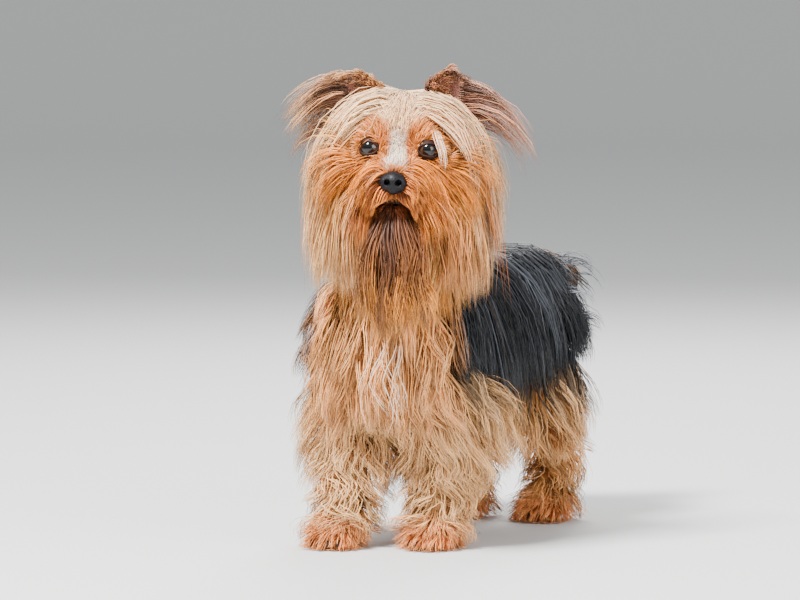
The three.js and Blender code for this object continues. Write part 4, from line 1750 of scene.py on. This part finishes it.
    def gather(self, patch: Patch, paths: Points, draw: Draw) -> tuple[Points, Points]:
        """Draws locks together into clumps, and waves each clump as one.

        Args:
            patch: How they grow.
            paths: Their points.
            draw: The seeded draw.

        Returns:
            The new points, and the number of each lock's clump.
        """
        count, rings, _ = paths.shape
        area = np.prod(np.sort(np.ptp(paths[:, 1], axis=0))[1:]) + 1.0
        clumps = int(np.clip(area * 1.4 / patch.clump**2, 1, count // 3))
        leaders = draw.choice(count, clumps, replace=False)
        nearest = np.zeros(count, int)
        batch = 2000
        for at in range(0, count, batch):
            part = paths[at : at + batch, 1]
            apart = ((part[:, None] - paths[leaders, 1][None]) ** 2).sum(axis=2)
            nearest[at : at + batch] = apart.argmin(axis=1)
        lead = paths[leaders[nearest]]
        along = np.linspace(0, 1, rings)
        draw_in = patch.gather * along**1.4
        loose = draw.uniform(0.5, 1.0, (count, 1, 1))
        moved = paths + (lead - paths) * draw_in[None, :, None] * loose
        phase = draw.uniform(0, 2 * math.pi, (clumps, 2))[nearest]
        length = np.linalg.norm(paths[:, -1] - paths[:, 1], axis=1, keepdims=True)
        swing = patch.wave * along**1.1 * np.clip(length / self.full_swing, self.least_swing, 1)
        turns = 2 * math.pi * patch.waves * along
        tangent = unit(np.gradient(moved, axis=1))
        across = unit(np.cross(tangent, DOWN + np.array([0.2, 0.1, 0.0])))
        upward = np.cross(across, tangent)
        own = draw.normal(0, 0.25, (count, 1))
        moved = moved + across * (swing * np.sin(turns + phase[:, :1] + own))[..., None]
        moved = moved + upward * (swing * 0.6 * np.cos(turns * 0.8 + phase[:, 1:] + own))[..., None]
        moved[:, 0] = paths[:, 0]
        for k in range(2, rings):
            moved[:, k] = self.clear_face(patch, moved[:, k])
        return moved, nearest

    def hold_in(self, paths: Points) -> None:
        """Keeps paths over the floor and, on the dog's right, near the solids, by changing them."""
        paths[..., 2] = np.maximum(paths[..., 2], self.tip_floor)
        past = paths[..., 0] - self.side_limit
        paths[..., 0] = np.where(past < 0, self.side_limit + self.side_yield * past, paths[..., 0])

    def colours(self, patch: Patch, paths: Points, clump: Points, draw: Draw) -> Points:
        """Works out a colour for each point of each lock, with painted shade at the roots.

        Args:
            patch: The patch, with its tones.
            paths: The locks' points.
            clump: The number of each lock's clump.
            draw: The seeded draw.

        Returns:
            Linear colours.
        """
        count, rings, _ = paths.shape
        base = markings(paths[:, 1])
        if patch.ear:
            base = mix(np.broadcast_to(Tint.TAUPE, base.shape), Tint.MAUVE, draw.random(count) ** 0.7)
            spread = np.abs(HEAD.inside(paths[:, 1])[:, 0])
            base = mix(base, 0.6 * Tint.RUST, 0.8 * draw.random(count) * ramp(36, 26, spread))
        clump_tone = draw.normal(0, 0.5, clump.max() + 1)[clump]
        tone = np.exp(patch.tone * (draw.normal(0, 0.55, count) + clump_tone))
        fade = patch.fade * np.clip(0.6 + 0.5 * draw.normal(0, 0.5, count) + 0.35 * clump_tone, 0, 1.6)
        along = np.linspace(0, 1, rings)[None, :]
        share = np.clip(fade[:, None] * along**patch.late, 0, 1)
        colour = mix(base[:, None, :], patch.tip[None, None, :], share)
        # Painted shade: every lock is darkened towards its root, where the coat shades itself.
        shade = self.root_shade + (1 - self.root_shade) * np.clip(along * 2.6, 0, 1)
        colour = colour * tone[:, None, None] * shade[..., None]
        return colour / np.maximum(1.0, colour.max(axis=2, keepdims=True) / self.brightest)

    @staticmethod
    def unwrap(places: Points) -> Points:
        """Gives each root a place on the map, round and along the patch's own longest way.

        Args:
            places: The roots.

        Returns:
            Places of 0 to 1 on the map.
        """
        middle = places.mean(axis=0)
        _, _, axes = np.linalg.svd(places - middle, full_matrices=False)
        local = (places - middle) @ axes.T
        around = np.arctan2(local[:, 2], local[:, 1]) / (2 * math.pi) + 0.5
        reach = np.abs(local[:, 0]).max() + TINY
        along = local[:, 0] / (2 * reach) + 0.5
        return 0.01 + 0.98 * np.stack([around, along], axis=1)

    @staticmethod
    def prism(body: int) -> Points:
        """The triangles of one lock: a three-sided prism that ends in a point.

        Args:
            body: How many sections it has before its tip.

        Returns:
            The triangles' corners, counted section by section, with the tip last.
        """
        ring, after = ring_corners(3)
        rows = np.arange(body - 1)[:, None] * 3
        lower = np.stack([rows + ring, rows + after, rows + 3 + after], axis=-1).reshape(-1, 3)
        upper = np.stack([rows + ring, rows + 3 + after, rows + 3 + ring], axis=-1).reshape(-1, 3)
        last = (body - 1) * 3
        point = np.stack([last + ring, last + after, np.full(3, body * 3)], axis=1)
        return np.concatenate([lower, upper, point, [[2, 1, 0]]])

    def mesh(self, patch: Patch, paths: Points, colours: Points) -> Piece:
        """Makes every lock a closed, flat, tapered prism.

        Args:
            patch: The patch, with its name and the locks' width.
            paths: The locks' points.
            colours: A colour for each point.

        Returns:
            All the patch's locks as one piece, painted and mapped.
        """
        count, rings, _ = paths.shape
        tangent = unit(np.gradient(paths, axis=1))
        _, out = self.look(paths.reshape(-1, 3))
        across = unit(np.cross(tangent, out.reshape(paths.shape)))
        up = np.cross(across, tangent)
        along = np.linspace(0, 1, rings)
        taper = (np.clip(along * 6, 0.5, 1) * (1 - along**2.2) + 0.04)[None, :, None]
        half = 0.5 * patch.width * taper
        thick = 0.34 * patch.width * taper
        body = rings - 1
        per = body * 3 + 1
        sections = np.stack([paths + across * half, paths + up * thick, paths - across * half], axis=2)
        sections = sections[:, :body].reshape(count, body * 3, 3)
        vertices = np.concatenate([sections, paths[:, -1:]], axis=1).reshape(-1, 3)
        faces = (self.prism(body)[None] + per * np.arange(count)[:, None, None]).reshape(-1, 3)
        piece = place_mesh(patch.name, vertices, faces)
        fix_facing(piece)
        shade = np.repeat(colours[:, :body], 3, axis=1)
        paint(piece, np.concatenate([shade, colours[:, -1:]], axis=1).reshape(-1, 3))
        self.map_tufts(piece, paths[:, 1], body)
        return piece

    def map_tufts(self, piece: Piece, places: Points, body: int) -> None:
        """Writes the map, on which each lock is a tiny patch at its root's place.

        Args:
            piece: The patch's piece.
            places: The roots.
            body: How many sections a lock has before its tip.
        """
        centre = self.unwrap(places)
        along = np.append(np.repeat(np.linspace(-0.5, 0.4, body), 3), 0.5)
        around = np.append(np.tile([-0.5, 0.0, 0.5], body), 0.0)
        offset = np.stack([around, along], axis=1) * self.tuft_span
        uv = (centre[:, None] + offset[None]).reshape(-1, 2)
        mesh = piece.data
        corners = np.zeros(len(mesh.loops), np.int32)
        mesh.loops.foreach_get("vertex_index", corners)
        layer = mesh.uv_layers.new(name="OFBake")
        layer.data.foreach_set("uv", uv[corners].astype(np.float32).ravel())

    def build(self, patch: Patch, seed: int) -> None:
        """Grows, colours and dresses one patch.

        Args:
            patch: The patch.
            seed: What its draws start from.
        """
        draw = np.random.default_rng(seed)
        places, normals = self.roots(patch, draw)
        paths, clump = self.gather(patch, self.grow(patch, places, normals, draw), draw)
        self.hold_in(paths)
        colours = self.colours(patch, paths, clump, draw)
        put_on(self.mesh(patch, paths, colours), self.finish, patch.slot, *patch.nodes)


# The patches of coat
def even(length: float) -> Callable[[Points], Points]:
    """Gives every root the same length, in mm."""
    return lambda places: np.full(len(places), float(length))


def flank_patch(word: str, side: int) -> Patch:
    """The coat of one flank, from the parting along the back to the belly, even at the hem."""

    def thickness(_: Points, y: Points, z: Points) -> Points:
        """Thicker near the back, and none where the neck starts."""
        return ~((y < -50) & (z > 214)) * (0.5 + 0.8 * ramp(140, 180, z))

    def length(points: Points) -> Points:
        """Long from the parting, so that every lock ends along the hem."""
        x, y, z = points.T
        hem = 100 + 16 * ramp(20, 90, y) + 26 * ramp(-30, -80, y)
        full = np.clip(z - hem + 0.45 * np.maximum(0, 42 - np.abs(x)), 20, 150)
        return full * (1 - 0.45 * ramp(104, 124, y))

    where = Region(outside(side, -2), (-92, 130), (118, 232), facing=(2, -0.9, -0.4), more=thickness)
    # The tips run a little to silver: the grey of the steel coat, partly a painted highlight where the black
    # hair reflects the sky.
    return Patch(
        f"coat_flank_{word}", ("torso",), "coat_steel", 3000, where, Lie.FLANK, length,
        width=1.6, segments=5, weight=0.65, lift=0.14, layers=(2.0, 13.0), wave=2.4, waves=1.1,
        clump=12.0, gather=0.8, tip=Tint.SILVER_AND_HIGHLIGHT, fade=0.12, tone=0.8, gaps=(),
    )


def fore_leg_patch(word: str, side: int) -> Patch:
    """The fluffy coat of a front leg."""
    x, y, _ = FORE_LEGS[word].bend

    def near(places_x: Points, places_y: Points, _: Points) -> Points:
        """1 round the leg."""
        return np.hypot(places_x - x, places_y - (y - 14)) < 44

    return Patch(
        f"coat_fore_leg_{word}", (f"fore_leg_{word}",), "coat_cream", 2100,
        Region(outside(side, 4), (-FAR, 0), (18, 136), more=near), Lie.LEG,
        lambda p: np.minimum(32 + 30 * ramp(50, 110, p[:, 2]), p[:, 2] * 0.95 + 8),
        width=1.25, segments=6, weight=0.21, lift=1.1, layers=(1.5, 15.0), wave=5.5, waves=1.5, clump=10.0,
        gather=0.85, tip=Tint.CREAM, fade=0.5, tone=0.75, gaps=(),
    )


def hind_leg_patch(word: str, side: int) -> Patch:
    """The coat of a back leg, shorter at the hock."""
    return Patch(
        f"coat_hind_leg_{word}", (f"hind_leg_{word}",), "coat_cream", 1800,
        Region(outside(side, 4), (34, FAR), (18, 134)), Lie.LEG,
        lambda p: np.minimum(30 + 30 * ramp(60, 120, p[:, 2]), p[:, 2] * 0.9 + 10), width=1.35, segments=5,
        weight=0.24, lift=0.9, layers=(1.5, 14.0), wave=4.5, waves=1.3, clump=9.0, gather=0.85,
        tip=Tint.CREAM, fade=0.45, tone=0.9, gaps=(),
    )


def paw_patch(paw: str) -> Patch:
    """The short hair that falls over the toes."""
    x, y, _ = PAWS[paw].paw

    def near(places_x: Points, places_y: Points, _: Points) -> Points:
        """1 over the paw."""
        return np.hypot(places_x - x, places_y - y) < 28

    return Patch(
        f"coat_paw_{paw}", (f"paw_{paw}",), "coat_rust", 850,
        Region(height=(4, 32), facing=(2, -0.6, 0.0), more=near), Lie.PAW,
        lambda p: 11 + 0.6 * p[:, 2], width=1.0, segments=3, weight=0.16, lift=0.55, layers=(0.8, 6.5),
        wave=1.6, clump=4.0, gather=0.5, tip=Tint.LEG, fade=0.5, tone=0.35, gaps=(),
    )


def crown_patch(word: str, side: int) -> Patch:
    """The long fall from the parting over the skull."""

    def thickness(left: Points, ahead: Points, _: Points) -> Points:
        """Thicker along the parting, thinner over the brow."""
        return (0.6 + ramp(20, 4, np.abs(left))) * (1 - 0.5 * ramp(10, 20, ahead))

    def length(points: Points) -> Points:
        """Shorter over the brow and behind."""
        left, ahead, _ = HEAD.inside(points).T
        return 122 - 0.4 * np.clip(-ahead, -20, 40) - 40 * ramp(4, 24, ahead) * ramp(24, 8, np.abs(left))

    return Patch(
        f"coat_crown_{word}", ("head",), "coat_cream", 2000,
        Region(outside(side, -1.5), (-FAR, 30), (12, FAR), Axes.HEAD, more=thickness), Lie.CROWN, length,
        width=1.4, segments=6, weight=0.56, lift=0.24, layers=(2.5, 12.0), wave=3.4, waves=1.6, clump=7.0,
        gather=0.78, tip=Tint.BLOND if side < 0 else Tint.TAUPE, fade=0.5 if side < 0 else 0.9, tone=0.7,
        gaps=(OPENING,),
    )


def cheek_patch(word: str, side: int) -> Patch:
    """The curtain that hangs from the cheek and under the ear."""
    return Patch(
        f"coat_cheek_{word}", ("head",), "coat_cream", 1400,
        Region(outside(side, 14), (-FAR, 24), (-42, 16), Axes.HEAD), Lie.DOWN,
        lambda p: np.clip(HEAD.inside(p)[:, 2] + 108, 58, 116), width=1.4, segments=6, weight=0.5,
        lift=0.42, layers=(3.0, 13.0), wave=3.6, waves=1.7, clump=7.0, gather=0.78,
        tip=Tint.CREAM if side < 0 else Tint.TAUPE, fade=0.75, tone=0.7,
    )


def moustache_patch(word: str, side: int) -> Patch:
    """The hair of the upper lip and the side of the muzzle."""

    def clear(left: Points, _: Points, up: Points) -> Points:
        """0 on the pale tuft between the eyes, and close to an eye."""
        return ((np.abs(left) > 8) | (up < -13)) * (from_eye(left, up) > 11)

    return Patch(
        f"coat_moustache_{word}", ("head",), "coat_rust", 1600,
        Region(outside(side, 0.5), (20, FAR), (-31, -3.5), Axes.HEAD, more=clear), Lie.MOUSTACHE,
        lambda p: 20 + 36 * ramp(64, 34, HEAD.inside(p)[:, 1]), width=0.95, segments=5, weight=0.4,
        lift=0.32, layers=(1.2, 8.0), wave=1.6, waves=1.4, clump=4.5, gather=0.65,
        tip=Tint.GOLD, fade=0.55, late=1.6, tone=0.8, gaps=LIP_GAPS,
    )


def ear_patch(word: str, side: int) -> Patch:
    """The hair that fans out from the ear."""

    def length(points: Points) -> Points:
        """Short on the leaf, and long where it droops from the outer edge."""
        left, _, up = HEAD.inside(points).T
        outer = left * side - (23 + 0.4 * (up - 22))
        return 11 + (60 + 8 * side) * ramp(-2, 12, outer)

    return Patch(
        f"coat_ear_{word}", (f"ear_{word}",), "coat_rust", 1500, Region(), Lie.EAR, length,
        width=1.1, segments=5, weight=0.34, lift=0.25, layers=(3.0, 12.0), wave=3.0, waves=1.5, clump=5.0,
        gather=0.7, tip=Tint.BLOND if side < 0 else Tint.TAUPE, fade=0.55, late=1.4, tone=0.8,
        ear=Ear(side), gaps=(OPENING,),
    )


def side_patches(word: str, side: int) -> list[Patch]:
    """The coat of one side, from the inside out.

    Args:
        word: The side's name.
        side: -1 for the dog's right, 1 for its left.

    Returns:
        The patches.
    """
    low = [flank_patch(word, side), fore_leg_patch(word, side), hind_leg_patch(word, side)]
    low += [paw_patch(f"{pair}_{word}") for pair in PAIRS]
    return low + [make(word, side) for make in (crown_patch, cheek_patch, moustache_patch, ear_patch)]


def body_patches() -> list[Patch]:
    """The tail, the ruff and the bib."""
    return [
        Patch(
            "coat_tail", ("tail",), "coat_steel", 700, Region(along=(128, FAR), height=(184, FAR)),
            Lie.TAIL, lambda p: 30 - 8 * ramp(140, 165, p[:, 1]),
            width=1.4, segments=5, weight=1.0, layers=(1.0, 5.0), wave=1.6, clump=6.0,
            tip=Tint.GOLD, fade=0.32, tone=0.5, gaps=(),
        ),
        Patch(
            "coat_neck", ("neck",), "coat_cream", 1500,
            Region(ANYWHERE, (-FAR, -30), (186, 285), Axes.OFF_HEAD, facing=(2, -0.9, -0.3)), Lie.DOWN,
            lambda p: np.clip(p[:, 2] - 168, 24, 80), width=1.6, segments=5, weight=0.5, lift=0.2,
            layers=(2.0, 9.0), wave=1.4, clump=8.0, tip=Tint.BLOND, fade=0.35, tone=0.5, gaps=(),
        ),
        Patch(
            "coat_chest", ("chest",), "coat_cream", 2300,
            Region((-36, 40), (-FAR, -84), (96, 204), facing=(1, 0.6, 0.0)), Lie.DOWN,
            lambda p: np.clip(p[:, 2] - 84, 26, 74), width=1.3, segments=7, weight=0.4, lift=0.4,
            layers=(1.5, 15.0), wave=6.5, waves=1.5, clump=12.0, gather=0.85, tip=Tint.CREAM, fade=0.55,
            tone=1.0, gaps=(),
        ),
    ]


def face_patches() -> list[Patch]:
    """The beard, the short hair of the face, and the back of the skull."""

    def round_eyes(left: Points, _: Points, up: Points) -> Points:
        """1 on the bridge and round the eyes, 0 on the eyes."""
        bridge = (np.abs(left) < 13) * (up > -16)
        return (from_eye(left, up) > 6.2) * np.maximum(bridge, from_eye(left, up) < 22)

    return [
        # The beard keeps its roots' umber far down: stain with painted shade under the mouth.
        Patch(
            "coat_beard", ("jaw",), "coat_rust", 1900,
            Region(
                (-26, 26), (8, FAR), (-FAR, -35), Axes.HEAD, (2, 0.6, 0.0),
                lambda left, ahead, up: 1 + 4 * ramp(34, 48, ahead),
            ),
            Lie.BEARD, lambda p: 96 - 0.7 * np.abs(HEAD.inside(p)[:, 0]), width=1.25, segments=7,
            weight=0.45, lift=0.35, layers=(2.0, 14.0), wave=5.0, waves=2.0, clump=6.5, gather=0.85,
            tip=Tint.GOLD, fade=1.15, late=4.2, tone=0.7,
        ),
        # Short dark chin hair from umber to fox: stain with painted shade beneath the mouth.
        Patch(
            "coat_chin", ("jaw",), "coat_rust", 900, Region((-15, 15), (30, FAR), (-50, -35), Axes.HEAD),
            Lie.BEARD, even(11), width=0.8, segments=4, weight=0.2, lift=0.7, layers=(1.0, 5.0), wave=0.6,
            clump=4.0, gather=0.5, tip=Tint.FOX, fade=0.7, tone=0.6,
        ),
        Patch(
            "coat_lip", ("head",), "coat_rust", 420, Region((-11, 11), (42, FAR), (-33.5, -25), Axes.HEAD),
            Lie.DOWN, even(4.6), width=0.7, segments=3, weight=0.2, lift=0.3, layers=(0.6, 2.0), wave=0.3,
            clump=3.0, gather=0.3, tip=Tint.GOLD, fade=0.6, tone=0.5, gaps=(NOSE_GAP,),
        ),
        Patch(
            "coat_nape", ("head",), "coat_cream", 1000, Region((-24, 24), (-FAR, 6), (-42, 22), Axes.HEAD),
            Lie.DOWN, even(64), width=1.5, segments=6, weight=0.5, lift=0.3, layers=(2.0, 9.0), wave=2.4,
            waves=1.4, clump=8.0, gather=0.7, tip=Tint.BLOND, fade=0.6, tone=0.5, gaps=(),
        ),
        Patch(
            "coat_face", ("head",), "coat_cream", 3700,
            Region(ANYWHERE, (18, FAR), (-16, 30), Axes.HEAD, more=round_eyes), Lie.FACE,
            lambda p: 7 + 7 * ramp(4, 22, HEAD.inside(p)[:, 2]), width=0.75, segments=3, weight=0.22,
            lift=0.4, layers=(0.6, 3.0), wave=0.3, clump=3.0, gather=0.4, tip=Tint.CREAM, fade=0.25,
            tone=0.3,
        ),
    ]


def loose_patches() -> list[Patch]:
    """The few locks that lie over the rest.

    Returns:
        The pale fringe over the brow, the white lock that crosses the left eye, the pale curl in the
        bib, the loose hair over the rump, and the dark locks on the point of the right shoulder.
    """
    return [
        Patch(
            "coat_forelock", ("head",), "coat_cream", 300,
            Region((-9, 9), (4, FAR), (22, FAR), Axes.HEAD, None, lambda x, y, z: ramp(9, 4, np.abs(x))),
            Lie.FORELOCK, lambda p: 4 + 0.4 * HEAD.inside(p)[:, 2], width=1.0, segments=5, weight=0.16,
            lift=0.25, layers=(1.0, 4.5), wave=0.8, clump=5.0, gather=0.6, tip=Tint.CREAM, fade=0.8,
            tone=0.25,
        ),
        Patch(
            "coat_eye_lock", ("head",), "coat_cream", 16,
            Region((20.9, 24.1), (10, FAR), (17, 23), Axes.HEAD), Lie.FORELOCK, even(38),
            width=0.6, segments=6, weight=0.3, lift=0.3, layers=(2.5, 3.2), wave=0.8, clump=30.0,
            gather=0.9, tip=Tint.PALE, fade=1.6, tone=0.1, gaps=(),
        ),
        Patch(
            "coat_bib_lock", ("chest",), "coat_cream", 34, Region((6, 24), (-FAR, -100), (150, 170)),
            Lie.DOWN, even(66), width=1.0, segments=8, weight=0.3, lift=0.7, layers=(13.0, 17.0),
            wave=8.0, waves=1.2, clump=6.0, gather=0.85, tip=Tint.PALE, fade=1.6, tone=0.2, gaps=(),
        ),
        Patch(
            "coat_wisps", ("torso",), "coat_steel", 420,
            Region(along=(92, FAR), height=(150, 205), more=lambda x, y, z: np.abs(x) > 14),
            Lie.WISP, even(34), width=1.1, segments=6, weight=0.3, lift=0.4, layers=(6.0, 16.0),
            wave=4.5, waves=1.1, clump=11.0, gather=0.85, tip=Tint.SILVER_AND_HIGHLIGHT, fade=0.7, tone=0.6, gaps=(),
        ),
        Patch(
            "coat_shoulder", ("neck",), "coat_cream", 500, Region((-FAR, -22), (-112, -70), (158, 200)),
            Lie.DOWN, even(46), width=1.3, segments=6, weight=0.3, lift=0.5, layers=(8.0, 16.0),
            wave=4.0, waves=1.2, clump=11.0, gather=0.85, tip=Tint.SILVER_AND_HIGHLIGHT, fade=0.5, tone=0.9, gaps=(),
        ),
    ]


def patches() -> list[Patch]:
    """Every stretch of coat, in the order of their seeds."""
    sides = [patch for word, side in SIDES.items() for patch in side_patches(word, side)]
    return sides + body_patches() + face_patches() + loose_patches()


@dataclass
class Claws:
    """The dark claws, one in front of each toe.

    Attributes:
        length: How far a claw reaches past its toe, in mm.
        radius: Its radius at the root.
        tip: Its radius at the tip.
        ahead: How far in front of the paw's middle the inner claws start.
        heights: The height of its root, its bend and its tip.
        points: How many points it has along it.
        sides: How many faces it has round it.
    """

    length: float = 6.5
    radius: float = 1.7
    tip: float = 0.15
    ahead: float = 18.0
    heights: Triple = (6.8, 5.8, 2.2)
    points: int = 9
    sides: int = 10

    def build(self, finish: Material) -> None:
        """Makes all claws of all paws as one piece.

        Args:
            finish: Its material.
        """
        root, bend, tip = self.heights
        radii = self.radius * (1 - np.linspace(0, 1, self.points) ** 1.6) + self.tip
        vertices, faces = [], []
        for leg in PAWS.values():
            for place in TOE_PLACES:
                x = leg.paw[0] + place * TOE_SPACING
                y = leg.paw[1] - self.ahead + abs(place) * TOE_STEP
                line = [(x, y, root), (x, y - self.length * 0.55, bend), (x, y - self.length, tip)]
                points, tris = tube_mesh(smooth_line(line, self.points), radii, self.sides)
                faces.append(tris + sum(len(v) for v in vertices))
                vertices.append(points)
        piece = place_mesh("claws", np.concatenate(vertices), np.concatenate(faces))
        fix_facing(piece)
        put_on(piece, finish, "nose_leather", "paw_fore_left")


@dataclass(frozen=True)
class Lamp:
    """One soft square light that points at the dog.

    Attributes:
        name: Its name.
        azimuth: Where it stands round the dog, in degrees.
        height: Its height, in metres.
        distance: How far it stands off.
        size: Its width.
        power: Its power, in watts.
        aim: The height that it points at.
    """

    name: str
    azimuth: float
    height: float
    distance: float
    size: float
    power: float
    aim: float = 0.18

    def build(self) -> None:
        """Hangs the light."""
        data = bpy.data.lights.new(self.name, "AREA")
        data.size = self.size
        data.energy = self.power
        light = bpy.data.objects.new(self.name, data)
        turn = math.radians(self.azimuth)
        light.location = (math.sin(turn) * self.distance, -math.cos(turn) * self.distance, self.height)
        way = Vector((0, 0, self.aim)) - Vector(light.location)
        light.rotation_euler = way.to_track_quat("-Z", "Y").to_euler()
        bpy.context.scene.collection.objects.link(light)


@dataclass
class Studio:
    """The floor, the lights and the camera.

    Attributes:
        azimuth: Where the camera stands round the dog, in degrees.
        elevation: How far it looks down.
        distance: How far it stands off, in mm.
        sensor: The width of its sensor.
        lens: Its focal length.
        target: The point that it looks at, in the dog's frame.
        flat: How far the floor is level, in mm.
        curve: The radius of its rise beyond.
        sky: The colour of the light from all round.
        sky_strength: How bright that is.
    """

    LAMPS = (
        Lamp("key", -12.0, 2.1, 1.5, 0.6, 235.0),
        Lamp("fill", 75.0, 0.9, 2.0, 1.4, 44.0),
        Lamp("rim", 200.0, 1.6, 1.6, 0.9, 60.0),
    )

    azimuth: float = 27.0
    elevation: float = 4.0
    distance: float = 3200.0
    sensor: float = 36.0
    lens: float = 192.0
    target: Triple = (-29.2, -14.9, 176.0)
    flat: float = 8500.0
    curve: float = 3500.0
    sky: Triple = (0.95, 0.97, 1.0)
    sky_strength: float = 0.74

    def camera(self) -> None:
        """Sets the camera."""
        a, e = math.radians(self.azimuth), math.radians(self.elevation)
        back = np.array([math.sin(a) * math.cos(e), -math.cos(a) * math.cos(e), math.sin(e)])
        aim = (np.array(self.target) + SHIFT) * MM
        data = bpy.data.cameras.new("camera")
        data.lens = self.lens
        data.sensor_width = self.sensor
        data.sensor_fit = "HORIZONTAL"
        data.clip_end = 40.0
        camera = bpy.data.objects.new("camera", data)
        camera.location = aim + back * self.distance * MM
        camera.rotation_euler = Vector(back).to_track_quat("Z", "Y").to_euler()
        bpy.context.scene.collection.objects.link(camera)
        bpy.context.scene.camera = camera

    def floor(self) -> None:
        """A wide pale floor that curves up far away on every side."""
        turn = np.linspace(0.0, math.pi / 2, 14)
        reach = np.concatenate([[1.0, 2000.0, 5000.0], self.flat + self.curve * np.sin(turn)])
        rise = np.concatenate([np.zeros(3), self.curve * (1 - np.cos(turn))])
        around = np.linspace(0, 2 * math.pi, 96, endpoint=False)
        x, y = (reach[:, None] * wave(around)[None, :] for wave in (np.cos, np.sin))
        z = np.repeat(rise[:, None], len(around), axis=1) - SHIFT[2]
        points = np.stack([x, y, z], axis=-1).reshape(-1, 3)
        piece = place_mesh("floor", points, grid_faces(len(reach), len(around), closed=True))
        made, shader, _ = material("floor_paper")
        fill(shader, {"Base Color": (0.6, 0.6, 0.59, 1), "Roughness": 0.9})
        piece.data.materials.append(made)

    def lights(self) -> None:
        """A large soft key, a broad fill and a rim behind, with a pale world."""
        world = bpy.data.worlds.new("studio")
        world.use_nodes = True
        fill(world.node_tree.nodes["Background"], {"Color": (*self.sky, 1), "Strength": self.sky_strength})
        bpy.context.scene.world = world
        for lamp in self.LAMPS:
            lamp.build()

    def build(self) -> None:
        """Sets all of it."""
        self.camera()
        self.floor()
        self.lights()


def main() -> None:
    """Builds every piece in order."""
    logging.basicConfig(level=logging.INFO, format="%(name)s %(message)s")
    Studio().build()
    streaks = strand_variation()
    coat_finish = HairFinish("coat_hair", roughness=0.42).make(streaks)
    skin_finish = HairFinish("skin", roughness=0.7, streak=350.0, bump=0.0006).make(streaks)
    rim = RimFinish("rim_skin").make()
    skin = Skin(Anatomy())
    skin.build(skin_finish)
    eye_finish = EyeFinish().make()
    for side in SIDES.values():
        Eye(side).build(eye_finish, rim)
        Ear(side).build(skin_finish)
    Nose().build(NoseFinish().make())
    Mouth().build(rim)
    Claws().build(RimFinish("claw_horn", (0.03, 0.022, 0.018), 0.3).make())
    coat = Coat(skin, coat_finish)
    for seed, patch in enumerate(patches(), FIRST_SEED):
        coat.build(patch, seed)


if __name__ == "__main__":
    main()
